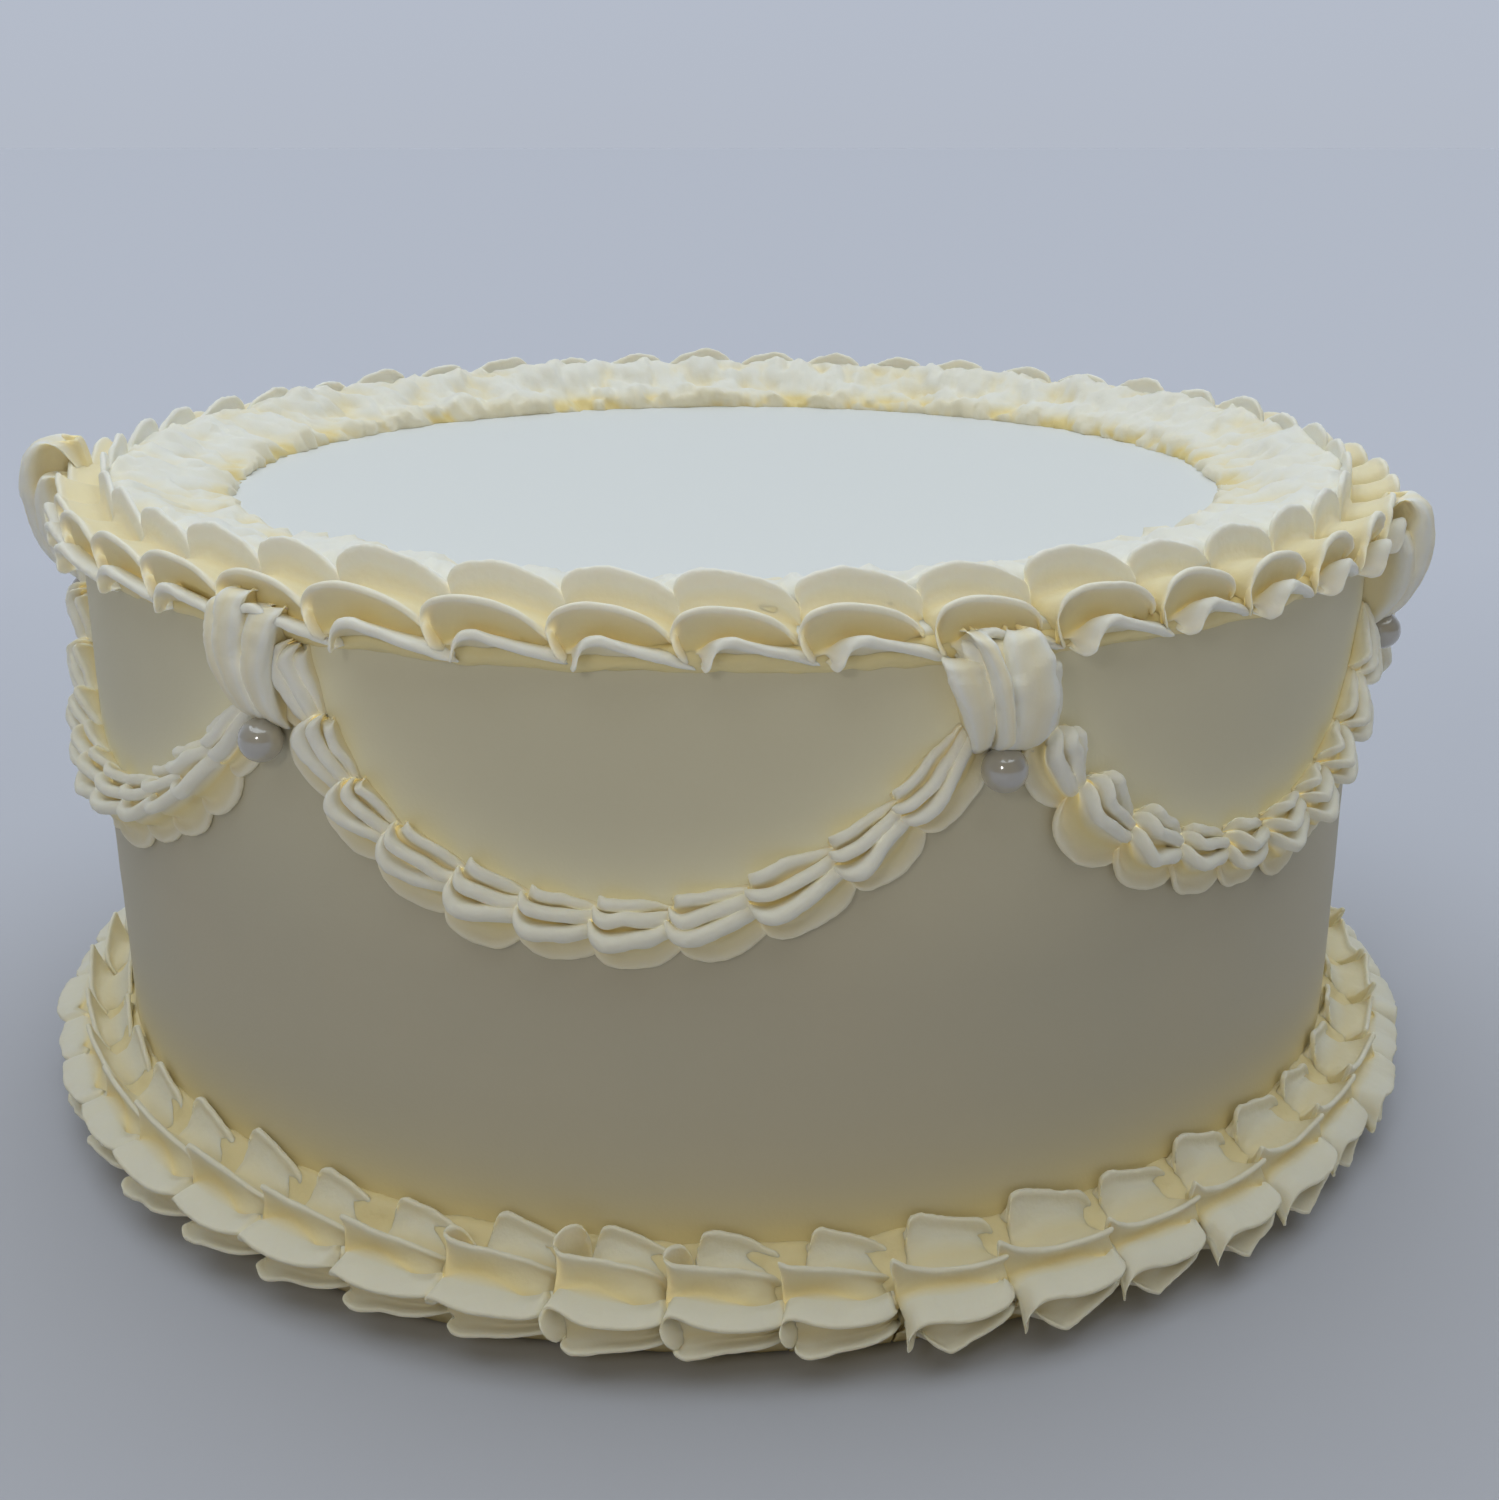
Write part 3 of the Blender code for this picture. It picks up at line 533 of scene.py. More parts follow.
def through(keys, times):
    """A smooth curve through keys, each a time and then values, read at the given times."""
    keys = np.array(keys, dtype=float)
    at, values = keys[:, 0], keys[:, 1:]
    gap = np.diff(at)[:, None]
    rise = np.diff(values, axis=0) / gap
    inner = (rise[:-1] * gap[1:] + rise[1:] * gap[:-1]) / (gap[1:] + gap[:-1])
    slope = np.vstack([rise[:1], inner, rise[-1:]])
    index = np.clip(np.searchsorted(at, times, side="right") - 1, 0, len(at) - 2)
    span = gap[index]
    u = ((times - at[index])[:, None]) / span
    return (
        values[index] * (1.0 + 2.0 * u) * (1.0 - u) ** 2
        + slope[index] * span * u * (1.0 - u) ** 2
        + values[index + 1] * u * u * (3.0 - 2.0 * u)
        + slope[index + 1] * span * u * u * (u - 1.0)
    )


def catmull_closed(points, steps):
    """Runs a smooth closed curve through the points of each row: (rows, points, 3)."""
    before = np.roll(points, 1, axis=1)
    after = np.roll(points, -1, axis=1)
    beyond = np.roll(points, -2, axis=1)
    parts = []
    for step in range(steps):
        u = step / steps
        parts.append(
            0.5 * (2.0 * points + (after - before) * u
                   + (2.0 * before - 5.0 * points + 4.0 * after - beyond) * u * u
                   + (3.0 * points - before - 3.0 * after + beyond) * u ** 3)
        )
    rows, count = points.shape[:2]
    return np.stack(parts, axis=2).reshape(rows, count * steps, 3)


def crowded_times(rows, crowding):
    """Times from 0 to 1 for the rows of a form, crowded towards its head."""
    times = np.arange(rows) / (rows - 1)
    return times * (1.0 - crowding + crowding * times)


def unit(vectors):
    """Vectors made one long, with the lengths that they had."""
    lengths = np.maximum(np.linalg.norm(vectors, axis=1, keepdims=True), TINY)
    return vectors / lengths, lengths


def on_spine(spine, place):
    """Points along a shell's spine at one place, in mm, in its section."""
    return np.stack([spine] + [np.full_like(spine, value * MM) for value in place], axis=1)


def blade_path(blade, times, curl, sag):
    """Where a blade's edge runs: its plain curve, part of the way to its curled or sagged one."""
    path = through(blade["keys"], times)
    for shape, share in (("curled", curl), ("sagged", sag)):
        if shape in blade:
            path = path * (1.0 - share) + through(blade[shape], times) * share
    return path


def blade_tip(blade, curl, times, shell, core, whole, rng, uneven):
    """Where the edge of one blade of a shell runs, with its own size, shift, sweep and bulge."""
    tip = blade_path(blade, times, curl, shell.sag) * np.array([shell.length, MM, MM])
    swell = whole * (1.0 + rng.uniform(-uneven, uneven) * BLADE_UNEVEN)
    tip[:, 1:] = core[:, 1:] + (tip[:, 1:] - core[:, 1:]) * swell
    tip[:, 0] += rng.uniform(-BLADE_SHIFT, BLADE_SHIFT) * shell.length
    tip[:, 1] += shell.swirl * blade.get("swept", 1.0) * MM * (1.0 - smooth(times / SWEPT))
    tip[:, 0] += shell.swirl * blade.get("late", 0.0) * shell.length * (1.0 - smooth(times / LATE))
    middle, width = rng.uniform(*BULGE_PLACES), rng.uniform(*BULGE_WIDTHS)
    bulge = rng.uniform(-1.0, 1.0) * uneven * BULGE * MM * np.exp(-((times - middle) / width) ** 2)
    away = unit(tip[:, 1:] - core[:, 1:])[0]
    tip[:, 1:] += np.stack([away[:, 1], -away[:, 0]], axis=1) * bulge[:, None]
    return tip


def blade_points(blade, tip, kind, times, shell, spine):
    """The five points of a blade's section, from one flank over its edge to the other."""
    root = on_spine(spine, blade["root"])
    away, reach = unit(tip[:, 1:] - root[:, 1:])
    side = np.concatenate([np.zeros_like(reach), away[:, 1:2], -away[:, 0:1]], axis=1)
    inward, depth = unit(root - tip)
    at = times[:, None]
    if "round" in kind:
        fuller = np.sqrt(np.clip(at / ROUND_HEAD, ROUND_LEAST, 1.0))
    else:
        fuller = 0.5 + 0.5 * smooth(at / HEAD)
    thick = np.minimum(blade["thick"] * shell.plump * MM * fuller, depth * THICK_LIMIT)
    flank = np.minimum(depth * FLANK_LIMIT, blade.get("flank", PLAIN_FLANK) * MM)
    ends = 1.0 - smooth(at / HEAD) - smooth((at - TAIL_START) / TAIL)
    ends = thick * kind.get("ends", PLAIN_ENDS) * ends
    back = ends * np.array([1.0, 0.0, 0.0])
    flanks = [tip + back + inward * flank + side * thick * half for half in (-FLANK_HALF, FLANK_HALF)]
    rim = tip + back * RIM_ENDS + inward * thick * RIM_DEPTH
    rims = [rim + side * thick * half for half in (-RIM_HALF, RIM_HALF)]
    return [flanks[0], rims[0], tip, rims[1], flanks[1]]


def groove_line(blade, tip, after, kind, times, shell, core, whole):
    """The bottom of the groove between a blade and the one after it."""
    if "groove" in blade:
        groove = blade_path(blade["groove"], times, 0.0, shell.sag) * np.array([shell.length, MM, MM])
        groove[:, 1:] = core[:, 1:] + (groove[:, 1:] - core[:, 1:]) * whole
        groove[:, 1] += shell.swirl * blade.get("swept", 1.0) * MM * (1.0 - smooth(times / SWEPT))
        return groove
    at = times[:, None]
    share = np.full_like(at, blade["share"])
    if "round" in kind:
        share += (ROUND_FILL - share) * (1.0 - smooth(at / ROUND_GROOVE))
    return core + ((tip + after) * 0.5 - core) * share


def shell_rows(kind, times, shell, rng):
    """Outlines of one shell at the given times, and its core: (rows, points, 3) and (rows, 3).

    A point is (distance along the row, then the two coordinates of the shell's section), in metres.
    """
    spine = through(kind["spine"], times)[:, 0] * shell.length
    core = on_spine(spine, kind["core"])
    uneven = kind["uneven"]
    whole = shell.size * (1.0 + rng.uniform(-uneven, uneven))
    tips = [
        blade_tip(blade, curl, times, shell, core, whole, rng, uneven)
        for blade, curl in zip(kind["blades"], shell.curls)
    ]
    columns = []
    for index, blade in enumerate(kind["blades"]):
        columns += blade_points(blade, tips[index], kind, times, shell, spine)
        if index + 1 < len(tips):
            columns.append(groove_line(blade, tips[index], tips[index + 1], kind, times, shell, core, whole))
    columns += [on_spine(spine, place) for place in kind["foot"]]
    return np.stack(columns, axis=1), core


def between_points(values, steps):
    """Values for the points that a section gains when it is made smooth."""
    values = np.array(values)
    after = np.roll(values, -1)
    parts = [values * (1.0 - step / steps) + after * (step / steps) for step in range(steps)]
    return np.stack(parts, axis=1).reshape(-1)


def shell_paleness(kind):
    """How pale each point of a shell's section is, 1 on a blade's edge; the less pale, the more painted
    yellow shade.
    """
    pales = []
    for index, blade in enumerate(kind["blades"]):
        pale = blade.get("pale", 0.0)
        face = blade.get("face", min(1.0, FACE_PALE + pale))
        tip = blade.get("tip", 1.0)
        pales += [face, RIM_PALE * tip, tip, RIM_PALE * tip, face]
        if index + 1 < len(kind["blades"]):
            pales.append(blade.get("valley", pale))
    pales += [FOOT_PALE] * len(kind["foot"])
    return between_points(pales, SHELL_STEPS)


def band_faces(low, high, points):
    """Quads between two closed rows of points, each given by the number of its first point."""
    after = [(point + 1) % points for point in range(points)]
    return [(low + point, low + after[point], high + after[point], high + point) for point in range(points)]


def tube_faces(rows, points, first):
    """Quads of one closed form's skin and the two caps that close it."""
    faces = []
    for row in range(rows - 1):
        faces += band_faces(first + row * points, first + (row + 1) * points, points)
    faces.append(tuple(first + point for point in reversed(range(points))))
    faces.append(tuple(first + (rows - 1) * points + point for point in range(points)))
    return faces


def piped_row(name, kind, shells, to_space, rng, material):
    """A row of separate overlapping shells as one mesh."""
    rows = kind["rows"]
    times = crowded_times(rows, SHELL_CROWDING)
    verts, faces, edge = [], [], []
    pales = shell_paleness(kind)
    for shell in shells:
        outline, core = shell_rows(kind, times, shell, rng)
        outline = catmull_closed(outline, SHELL_STEPS)
        points = outline.shape[1]
        away = outline - core[:, None, :]
        away[:, :, 0] = 0.0
        away /= np.maximum(np.linalg.norm(away, axis=2, keepdims=True), TINY)
        shift = rng.uniform(0.0, NOISE_SPAN)
        for row in range(rows):
            for point in range(points):
                along, across, out = outline[row, point]
                spot = Vector((shift + along * RAGGED_SCALE, across * RAGGED_SCALE, out * RAGGED_SCALE))
                rough = noise.noise(spot) * RAGGED * pales[point]
                lump = noise.noise(spot * LUMP_SCALE + LUMP_SHIFT) * LUMP
                push = (rough + lump) * MM
                across += away[row, point, 1] * push
                out += away[row, point, 2] * push
                verts.append(to_space(shell.start + along, across, out))
                edge.append(pales[point])
        faces += tube_faces(rows, points, len(verts) - rows * points)
    return new_piece(name, verts, faces, material, {"edge": edge})


def new_piece(name, verts, faces, material, fields):
    """A smooth-shaded mesh piece with its skin facing out and numbers stored on its points."""
    mesh = bpy.data.meshes.new(name)
    mesh.from_pydata([tuple(map(float, vert)) for vert in verts], [], faces)
    for field, values in fields.items():
        layer = mesh.attributes.new(field, "FLOAT", "POINT")
        layer.data.foreach_set("value", np.array(values, dtype=np.float32))
    mesh.validate()
    mesh.calc_loop_triangles()
    corners = np.empty(len(mesh.loop_triangles) * 3, dtype=np.int64)
    mesh.loop_triangles.foreach_get("vertices", corners)
    spots = np.array(verts, dtype=float)[corners].reshape(-1, 3, 3)
    if np.einsum("ij,ij->i", spots[:, 0], np.cross(spots[:, 1], spots[:, 2])).sum() < 0.0:
        mesh.flip_normals()
    mesh.update()
    mesh.shade_smooth()
    mesh.materials.append(material)
    return add_object(name, mesh)


def on_ring(azimuth, radius, height):
    """Turns a place round the cake into X, Y and Z."""
    return (radius * math.sin(azimuth), -radius * math.cos(azimuth), height)


def even_shells(count, total, rng, uneven, start=0.0, swirl=(0.0, 0.0), small_ends=0.0, plump=(1.0, 1.0)):
    """Shells along a row, unevenly spaced but filling it; swirl and plump go from first to last."""
    steps = [1.0 + rng.uniform(-uneven, uneven) for _ in range(count)]
    stretch = total / sum(steps)
    shells = []
    for index, step in enumerate(steps):
        share = index / (count - 1)
        size = 1.0 - small_ends * abs(2.0 * share - 1.0) ** 3
        swept = swirl[0] * (1.0 - share) + swirl[1] * share
        thick = plump[0] * (1.0 - share) + plump[1] * share
        thick *= 1.0 + rng.uniform(-uneven, uneven)
        shells.append(Shell(start, step * stretch, swept, size, thick, 0.0, NO_CURLS))
        start += step * stretch
    return shells


def eased(value, start, span):
    """A share that eases from 0 at start to 1 a span further on."""
    return float(smooth((value - start) / span))


def bend_foot_shell(shell, azimuth, rng):
    """A foot shell with its sag, none at the left and full at the right, and its heads rolled back."""
    degrees = math.degrees((azimuth + math.pi) % TURN - math.pi)
    upper = math.exp(-((degrees - UPPER_CURL[0]) / UPPER_CURL[1]) ** 2)
    outer = eased(degrees, *OUTER_CURL) * (1.0 - OUTER_CURL_LESS * eased(degrees, *OUTER_CURL_EASE))
    curls = (
        0.0,
        min(1.0, upper + rng.uniform(0.0, UPPER_CURL_MORE)),
        min(1.0, outer * rng.uniform(*OUTER_CURL_RANGE) + rng.uniform(0.0, OUTER_CURL_MORE)),
        rng.choice(LOWER_CURLS) * (LOWER_CURL_LEAST[0] + LOWER_CURL_LEAST[1] * outer),
    )
    return shell._replace(sag=eased(degrees, *SAG_START) * eased(-degrees, *SAG_END), curls=curls)


def make_ring(name, section, shape, icing):
    """A closed ring of soft icing round the cake; shape gives each point's place and paleness."""
    rows = np.zeros((1, len(section), 3))
    rows[0, :, 1:] = section
    rows = catmull_closed(rows, RING_STEPS)[0, :, 1:]
    verts, faces, edge = [], [], []
    points = len(rows)
    for segment in range(RING_SEGMENTS):
        azimuth = TURN * segment / RING_SEGMENTS
        for radius, height in rows:
            spot = Vector(on_ring(azimuth, radius, height))
            lump = sum(noise.noise(spot * scale) * size for scale, size in RING_LUMPS)
            place, pale = shape(azimuth, radius, height, spot, lump)
            verts.append(place)
            edge.append(pale)
        faces += band_faces(segment * points, (segment + 1) % RING_SEGMENTS * points, points)
    return new_piece(name, verts, faces, icing, {"edge": edge})


def cream_point(azimuth, radius, height, spot, lump):
    """A point of the top border's inner slope, lumpy, with painted yellow shade at its lower edge and in its
    hollows.
    """
    raised = 1.0 + BACK_LIFT * (1.0 - math.cos(azimuth)) * 0.5
    inner = 1.0 - eased(radius, *CREAM_EDGE)
    inward = lump * CREAM_LUMP_IN + noise.noise(spot * CREAM_EDGE_LUMP[0]) * CREAM_EDGE_LUMP[1] * inner
    upward = lump * eased(height, *CREAM_FOOT)
    upward += CREAM_BACK_RISE * (raised - 1.0) * eased(radius, *CREAM_CREST)
    level = CAKE_HEIGHT + (height - CAKE_HEIGHT / MM + upward) * raised * MM
    hollow_shade = (CREAM_HOLLOW_SHADE + CREAM_EDGE_HOLLOW_SHADE * inner) * min(lump, 0.0)
    pale = min(1.0, CREAM_PALE - CREAM_EDGE_SHADE * inner + hollow_shade)
    return on_ring(azimuth, (radius - inward) * MM, level), pale


def filling_point(azimuth, radius, height, spot, lump):
    """A point of the icing that shows between the shells, a little uneven, and yellow with painted shade."""
    out, up = (radius + lump * FILLING_LUMP_IN) * MM, (height + lump * FILLING_LUMP_UP) * MM
    return on_ring(azimuth, out, up), FILLING_PALE


def make_border(name, kind, count, phase, radius, rng, icing):
    """The shell border on the top edge, higher at the back, or the one round the foot."""

    def to_space(along, across, out):
        azimuth = along / radius
        raised = BACK_LIFT * (1.0 - math.cos(azimuth)) * 0.5 * max(out - CAKE_HEIGHT, 0.0)
        return on_ring(azimuth, across, out + raised)

    total = TURN * radius
    shells = even_shells(count, total, rng, RING_UNEVEN, phase * total / count)
    if kind is BASE_SHELL:
        shells = [bend_foot_shell(shell, shell.start / radius, rng) for shell in shells]
    return piped_row(name, kind, shells, to_space, rng, icing)


def swag_line(steps=600):
    """A swag's middle line on the unrolled wall: lengths so far, arcs and heights."""
    share = np.linspace(-1.0, 1.0, steps)
    arc = share * SWAG_HALF_ANGLE * CAKE_RADIUS
    end_rise = np.where(share < 0.0, SWAG_LEFT_RISE, SWAG_RIGHT_RISE)
    bowl = np.where(share < 0.0, SWAG_LEFT_BOWL, SWAG_RIGHT_BOWL)
    height = SWAG_LOW_HEIGHT + bowl * share ** 2 + end_rise * share ** SWAG_END_POWER
    length = np.concatenate([[0.0], np.cumsum(np.hypot(np.diff(arc), np.diff(height)))])
    return length, arc, height


def make_swag(name, azimuth, swirl, rng, icing):
    """One garland of overlapping shells along a swag's line."""
    length, arc, height = swag_line()
    slope_arc = np.gradient(arc, length)
    slope_height = np.gradient(height, length)

    def to_space(along, across, out):
        middle = np.interp(along, length, arc)
        level = np.interp(along, length, height)
        toward = np.interp(along, length, slope_arc)
        rise = np.interp(along, length, slope_height)
        across *= SWAG_WIDTH
        turn = azimuth + (middle - across * rise) / CAKE_RADIUS
        return on_ring(turn, CAKE_RADIUS + out, level + across * toward)

    shells = even_shells(
        SWAG_SHELLS, length[-1] * SWAG_FILLED, rng, SWAG_UNEVEN,
        swirl=swirl, small_ends=SWAG_SMALL_ENDS, plump=SWAG_PLUMP,
    )
    return piped_row(name, SWAG_SHELL, shells, to_space, rng, icing)


def make_bow(name, azimuth, top, bottom, swell, kind, rng, icing):
    """One bow: overlapping petals that start on the top border and are drawn down the wall."""
    height = (top - bottom) * MM
    half = np.array(PETAL_OUTLINE)
    mirrored = half[::-1] * np.array([-1.0, 1.0, 1.0])
    outline = np.concatenate([half, [PETAL_CREST], mirrored, [PETAL_BACK]])
    points = len(outline) * BOW_STEPS
    # Paleness round the outline: the less pale, the more painted yellow shade; it also sets how ragged the
    # petal is
    pale = np.clip(between_points(outline[:, 2], BOW_STEPS), 0.0, 1.0)
    verts, faces, edge = [], [], []
    times = crowded_times(BOW_ROWS, BOW_CROWDING)
    for petal in BOW_KINDS[kind]:
        place, middle, crest, width = through(petal, times).T[:, :, None]
        free = smooth((top - place * (top - bottom) - BOW_FREE_HEIGHT) / BOW_FREE_SPAN)
        back = -BOW_SUNK + (crest * BOW_FREE_BACK + BOW_SUNK) * free
        rows = np.zeros((BOW_ROWS, len(outline), 3))
        rows[:, :, 0] = place
        rows[:, :, 1] = middle + width * outline[:, 0]
        rows[:, :, 2] = back + (crest - back) * outline[:, 1]
        rows = catmull_closed(rows, BOW_STEPS)
        shift = rng.uniform(0.0, NOISE_SPAN)
        for row in range(BOW_ROWS):
            for point in range(points):
                down, across, out = rows[row, point]
                spot = Vector((shift + down * BOW_NOISE_ALONG, across, out))
                rough = noise.noise(spot * BOW_ROUGH[0]) * BOW_ROUGH[1] * pale[point]
                rough += noise.noise(spot * BOW_LUMP[0]) * BOW_LUMP[1]
                off = across - middle[row, 0]
                side = 1.0 if off > 0.0 else -1.0
                arc = (across + side * rough * abs(off) / BOW_ROUGH_WIDTH) * swell * MM
                out = (out + rough * 0.5) * swell * MM
                level = top * MM - down * height
                verts.append(on_ring(azimuth + arc / CAKE_RADIUS, CAKE_RADIUS + out, level))
                edge.append(pale[point])
        faces += tube_faces(BOW_ROWS, points, len(verts) - BOW_ROWS * points)
    return new_piece(name, verts, faces, icing, {"edge": edge})


def make_pearl(name, material):
    """One sugar pearl in the place of its solid."""
    low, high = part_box(name.replace("bead", "pearl"))
    middle = [(low[axis] + high[axis]) / 2.0 for axis in range(3)]
    bpy.ops.mesh.primitive_uv_sphere_add(
        segments=PEARL_SEGMENTS, ring_count=PEARL_SEGMENTS // 2, radius=PEARL_RADIUS, location=middle,
    )
    piece = bpy.context.object
    piece.name = name
    piece.data.name = name
    piece.data.shade_smooth()
    piece.data.materials.append(material)
    return piece


def wall_wave(azimuth, height):
    """How far the smoothed wall stands in or out."""
    push = 0.0
    for around, up, depth in (BROAD_WAVE, BAND_WAVE):
        spot = Vector((math.sin(azimuth) * around, math.cos(azimuth) * around, height * up))
        push += noise.noise(spot) * depth
    return push


def piping_glow(azimuth, height):
    """How much light the piping throws on the wall: just over each swag, and over the base border."""
    _, arc, level = swag_line(GLOW_STEPS)
    between = TURN / SWAGS
    middle = FIRST_BOW_AZIMUTH - between / 2.0
    turn = (azimuth - middle + between / 2.0) % between - between / 2.0
    across = turn * CAKE_RADIUS
    nearest = np.sqrt((across[:, None] - arc) ** 2 + (height[:, None] - level) ** 2).min(axis=1)
    over = height > np.interp(across, arc, level)
    swag = np.where(over, np.exp(-np.maximum(nearest - SWAG_EDGE, 0.0) / SWAG_GLOW), 0.0)
    base = np.exp(-np.maximum(height - BASE_EDGE, 0.0) / BASE_GLOW)
    return swag, base


def cake_profile():
    """Radius and height of each ring of the drum's points, from near the middle of its top down."""
    profile = [(CAKE_RADIUS * step / TOP_STEPS * TOP_SHARE, CAKE_HEIGHT) for step in range(1, TOP_STEPS + 1)]
    for step in range(EDGE_STEPS):
        turn = 0.5 * math.pi * (1.0 - step / (EDGE_STEPS - 1))
        profile.append((
            CAKE_RADIUS - EDGE_ROUND + EDGE_ROUND * math.cos(turn),
            CAKE_HEIGHT - EDGE_ROUND + EDGE_ROUND * math.sin(turn),
        ))
    for step in range(1, WALL_STEPS + 1):
        profile.append((CAKE_RADIUS, (CAKE_HEIGHT - EDGE_ROUND) * (1.0 - step / WALL_STEPS)))
    return profile


def make_cake(icing):
    """The smooth iced drum, with the slight waves that a scraper leaves."""
    profile = cake_profile()
    verts, wall = [(0.0, 0.0, CAKE_HEIGHT)], [0.0]
    for radius, height in profile:
        for segment in range(CAKE_SEGMENTS):
            azimuth = TURN * segment / CAKE_SEGMENTS
            if height < CAKE_HEIGHT - EDGE_ROUND / 2.0:
                push = wall_wave(azimuth, height) * float(smooth(height / WALL_FOOT))
                verts.append(on_ring(azimuth, radius + push, height))
                wall.append(1.0)
            else:
                x, y, z = on_ring(azimuth, radius, height)
                spot = Vector((x * TOP_WAVE[0], y * TOP_WAVE[0], TOP_WAVE[1]))
                verts.append((x, y, z + noise.noise(spot) * TOP_WAVE[2] * MM))
                wall.append(0.0)
    bottom = len(verts)
    verts.append((0.0, 0.0, 0.0))
    wall.append(1.0)
    faces = []
    rings = len(profile)
    for segment in range(CAKE_SEGMENTS):
        after = (segment + 1) % CAKE_SEGMENTS
        faces.append((0, 1 + segment, 1 + after))
        for ring in range(rings - 1):
            low = 1 + ring * CAKE_SEGMENTS
            high = low + CAKE_SEGMENTS
            faces.append((low + segment, high + segment, high + after, low + after))
        last = 1 + (rings - 1) * CAKE_SEGMENTS
        faces.append((last + segment, bottom, last + after))
    spots, wall = np.array(verts), np.array(wall)
    # Masks of the painted light that the piping throws on the wall
    swag, base = piping_glow(np.arctan2(spots[:, 0], -spots[:, 1]), spots[:, 2])
    fields = {"wall": wall, "painted_light_over_swag": swag * wall, "painted_light_over_base": base * wall}
    return new_piece("smooth_icing", verts, faces, icing, fields)


def add_node(tree, kind, values=None, links=None, **settings):
    """A new node with its own settings, its sockets' values and what feeds them."""
    node = tree.nodes.new("ShaderNode" + kind)
    for name, value in settings.items():
        setattr(node, name, value)
    feed(tree, node, values or {}, links or {})
    return node


def feed(tree, node, values, links):
    """Sets a node's sockets by name, to values or to the outputs of other nodes."""
    for name, value in values.items():
        node.inputs[name].default_value = value
    for name, output in links.items():
        tree.links.new(output, node.inputs[name])


def coordinates(tree, kind="Object"):
    """Nodes for the coordinates of a place, whole and split into X, Y and Z."""
    place = add_node(tree, "TexCoord").outputs[kind]
    return place, add_node(tree, "SeparateXYZ", links={"Vector": place}).outputs


def cloudy(tree, place, scale, detail=2.0):
    """A node with a noise from 0 to 1."""
    return add_node(tree, "TexNoise", {"Scale": scale, "Detail": detail}, {"Vector": place}).outputs["Fac"]


def stored_field(tree, name):
    """A node that reads a number stored on the piece's points."""
    return add_node(tree, "Attribute", attribute_name=name).outputs["Fac"]


def remap(tree, value, low, high):
    """A node that turns the span from low to high into 0 to 1."""
    ends = {"From Min": low, "From Max": high}
    return add_node(tree, "MapRange", ends, {"Value": value}).outputs["Result"]


def blend_colours(tree, factor, first, second):
    """A node that goes from the first colour to the second; each is a colour or a node's output."""
    ends = {"A": first, "B": second}
    values = {name: (*end, 1.0) for name, end in ends.items() if isinstance(end, tuple)}
    links = {name: end for name, end in ends.items() if name not in values}
    return add_node(tree, "Mix", values, {"Factor": factor, **links}, data_type="RGBA").outputs["Result"]


def bumpy(tree, place, scale, strength):
    """A node with the fine air bubbles and grain of the icing's skin."""
    grain = cloudy(tree, place, scale, GRAIN_DETAIL)
    return add_node(
        tree, "Bump", {"Strength": strength, "Distance": GRAIN_DEPTH}, {"Height": grain},
    ).outputs["Normal"]


def new_material(name):
    """A new node material, its tree and its Principled shader."""
    material = bpy.data.materials.new(name)
    material.use_nodes = True
    return material, material.node_tree, material.node_tree.nodes["Principled BSDF"]


def make_piped_material():
    """Piped buttercream: pale where it stands proud, painted yellow shade in its grooves, and darker and
    warmer lower down, which is painted shade.
    """
    material, tree, shader = new_material("piped_buttercream")
    place, axes = coordinates(tree)
    uneven = add_node(tree, "Math", {1: CLOUD_ADDS}, {
        0: cloudy(tree, place, PIPED_CLOUDS), 2: stored_field(tree, "edge"),
    }, operation="MULTIPLY_ADD")
    proud = remap(tree, uneven.outputs[0], *PROUD)
    high = remap(tree, axes["Z"], *PIPED_HEIGHTS)
    # Painted shade: colours grow darker and warmer lower down, and the grooves take a yellow painted shade
    ridge = blend_colours(tree, high, RIDGE_LOW_SHADE, RIDGE_HIGH_LIT)
    groove = blend_colours(tree, high, GROOVE_LOW_SHADE, GROOVE_HIGH_SHADE)
    shader.subsurface_method = "BURLEY"
    feed(tree, shader, PIPED_SHADER, {
        "Base Color": blend_colours(tree, proud, groove, ridge), "Normal": bumpy(tree, place, *PIPED_GRAIN),
    })
    return material


def make_smooth_material():
    """Smoothed buttercream: cool and pale on top; on the wall dimmer and warmer, which is painted shade,
    lighter high up and bright just over the piping, which is painted light.
    """
    material, tree, shader = new_material("smooth_buttercream")
    place, axes = coordinates(tree)
    mottled = remap(tree, cloudy(tree, place, SMOOTH_CLOUDS), *MOTTLED)
    high = remap(tree, axes["Z"], *WALL_HEIGHTS)
    low_wall_shade = blend_colours(tree, mottled, *LOW_WALL_SHADE)
    high_wall_shade_and_glow = blend_colours(tree, mottled, *HIGH_WALL_SHADE_AND_GLOW)
    wall = blend_colours(tree, high, low_wall_shade, high_wall_shade_and_glow)
    # Painted light from the piping, just over the base border and over each swag
    wall = blend_colours(tree, stored_field(tree, "painted_light_over_base"), wall, PAINTED_LIGHT_OVER_BASE)
    wall = blend_colours(tree, stored_field(tree, "painted_light_over_swag"), wall, PAINTED_LIGHT_OVER_SWAG)
    feed(tree, shader, SMOOTH_SHADER, {
        "Base Color": blend_colours(tree, stored_field(tree, "wall"), CAKE_TOP, wall),
        "Normal": bumpy(tree, place, *SMOOTH_GRAIN),
    })
    return material


def make_floor():
    """A pale floor that grows paler towards the back, which is painted light."""
    bpy.ops.mesh.primitive_plane_add(size=FLOOR_SIZE, location=(0.0, 0.0, -FLOOR_DROP))
    floor = bpy.context.object
    floor.name = "floor"
    material, tree, shader = new_material("floor_paper")
    away = remap(tree, coordinates(tree)[1]["Y"], *FLOOR_SPAN)
    feed(tree, shader, FLOOR_SHADER, {"Base Color": blend_colours(tree, away, FLOOR_NEAR, FLOOR_FAR)})
    floor.data.materials.append(material)


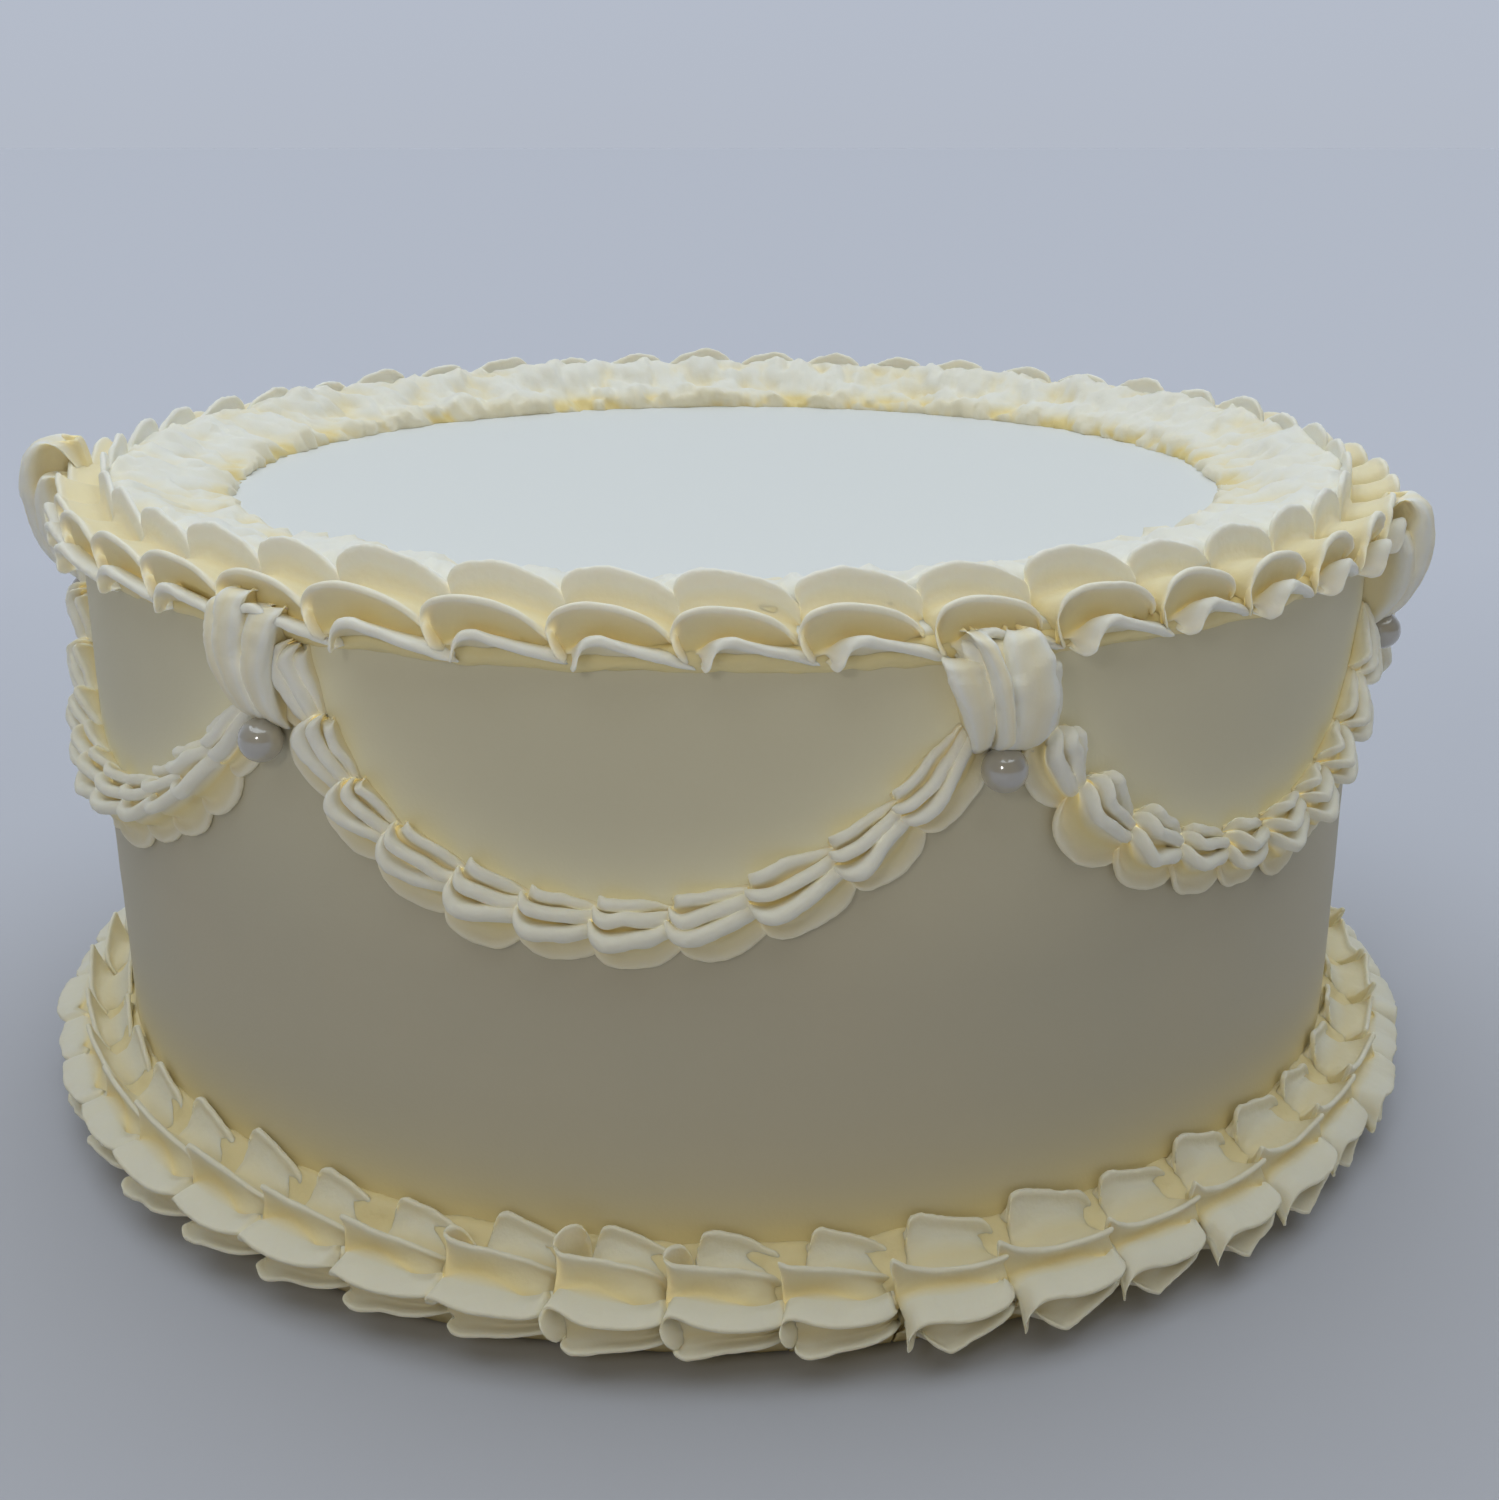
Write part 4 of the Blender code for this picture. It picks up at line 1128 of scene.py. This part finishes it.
def make_surroundings():
    """Surroundings that are pale behind and warm and dim in front."""
    world = bpy.data.worlds.new("studio")
    bpy.context.scene.world = world
    world.use_nodes = True
    tree = world.node_tree
    axes = coordinates(tree, "Generated")[1]
    sideways = remap(tree, axes["Y"], *FRONT_SPAN)
    backwards = remap(tree, axes["Y"], *BACK_SPAN)
    rightwards = remap(tree, axes["X"], *SIDE_SPAN)
    upwards = remap(tree, axes["Z"], *UP_SPAN)
    sides = blend_colours(tree, rightwards, ROOM_LEFT, ROOM_RIGHT)
    around = blend_colours(tree, sideways, ROOM_FRONT, sides)
    behind = blend_colours(tree, upwards, ROOM_LOW, ROOM_HIGH)
    feed(tree, tree.nodes["Background"], {}, {"Color": blend_colours(tree, backwards, around, behind)})


def add_object(name, data, location=(0.0, 0.0, 0.0), turn=(0.0, 0.0, 0.0)):
    """A new object in the scene."""
    made = bpy.data.objects.new(name, data)
    made.location = location
    made.rotation_euler = turn
    bpy.context.scene.collection.objects.link(made)
    return made


def make_lights():
    """A broad soft light overhead, and a small lamp in front that puts a bright point on each pearl."""
    sun = bpy.data.lights.new("overhead", "SUN")
    sun.energy = SUN_STRENGTH
    sun.angle = SUN_ANGLE
    sun.color = SUN_COLOUR
    add_object("overhead", sun, turn=(SUN_TILT, 0.0, 0.0))
    lamp = bpy.data.lights.new("sparkle", "POINT")
    lamp.energy = LAMP_POWER
    lamp.shadow_soft_size = LAMP_RADIUS
    add_object("sparkle", lamp, LAMP_PLACE)


def make_camera():
    """The camera at the photograph's place."""
    data = bpy.data.cameras.new("photo_camera")
    data.lens = CAMERA_LENS
    data.sensor_width = CAMERA_SENSOR
    data.clip_start = CAMERA_NEAR
    bpy.context.scene.camera = add_object(
        "photo_camera", data, (0.0, -CAMERA_DISTANCE, CAMERA_HEIGHT),
        (math.pi / 2.0 - CAMERA_PITCH, 0.0, -CAMERA_YAW),
    )


def dress(piece, slot, *nodes):
    """Puts a piece on the cake in the place of the solids that it stands for."""
    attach(piece, "root")
    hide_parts(*nodes)


def main():
    """Makes every piece, the stage and the camera."""
    bpy.context.scene.view_settings.view_transform = "Standard"
    make_camera()
    make_surroundings()
    make_lights()
    make_floor()
    piped = make_piped_material()
    smoothed = make_smooth_material()
    pearly, tree, shader = new_material("sugar_pearl")
    feed(tree, shader, PEARL_SHADER, {})
    dress(make_cake(smoothed), "smooth_icing", "cake")
    rng = random.Random(SEED)
    top = make_border("top_shells", TOP_SHELL, TOP_SHELLS, TOP_PHASE, TOP_RADIUS, rng, piped)
    base = make_border("base_shells", BASE_SHELL, BASE_SHELLS, BASE_PHASE, BASE_RADIUS, rng, piped)
    dress(top, "piped_icing", "top_border")
    dress(make_ring("top_cream", CREAM_SECTION, cream_point, piped), "piped_icing", "top_border")
    dress(make_ring("top_filling", TOP_FILLING, filling_point, piped), "piped_icing", "top_border")
    dress(make_ring("base_filling", BASE_FILLING, filling_point, piped), "piped_icing", "base_border")
    dress(base, "piped_icing", "base_border")
    rng = random.Random(SEED + 1)
    between = TURN / SWAGS
    for index in range(SWAGS):
        number = index + 1
        azimuth = FIRST_BOW_AZIMUTH + index * between
        swag = make_swag(f"swag_shells_{number}", azimuth - between / 2.0, SWAG_SWIRLS[index], rng, piped)
        dress(swag, "piped_icing", f"swag_{number}")
        bow = make_bow(f"bow_petals_{number}", azimuth, *BOWS[index], rng, piped)
        dress(bow, "piped_icing", f"bow_{number}")
        dress(make_pearl(f"bead_{number}", pearly), "pearl", f"pearl_{number}")


main()
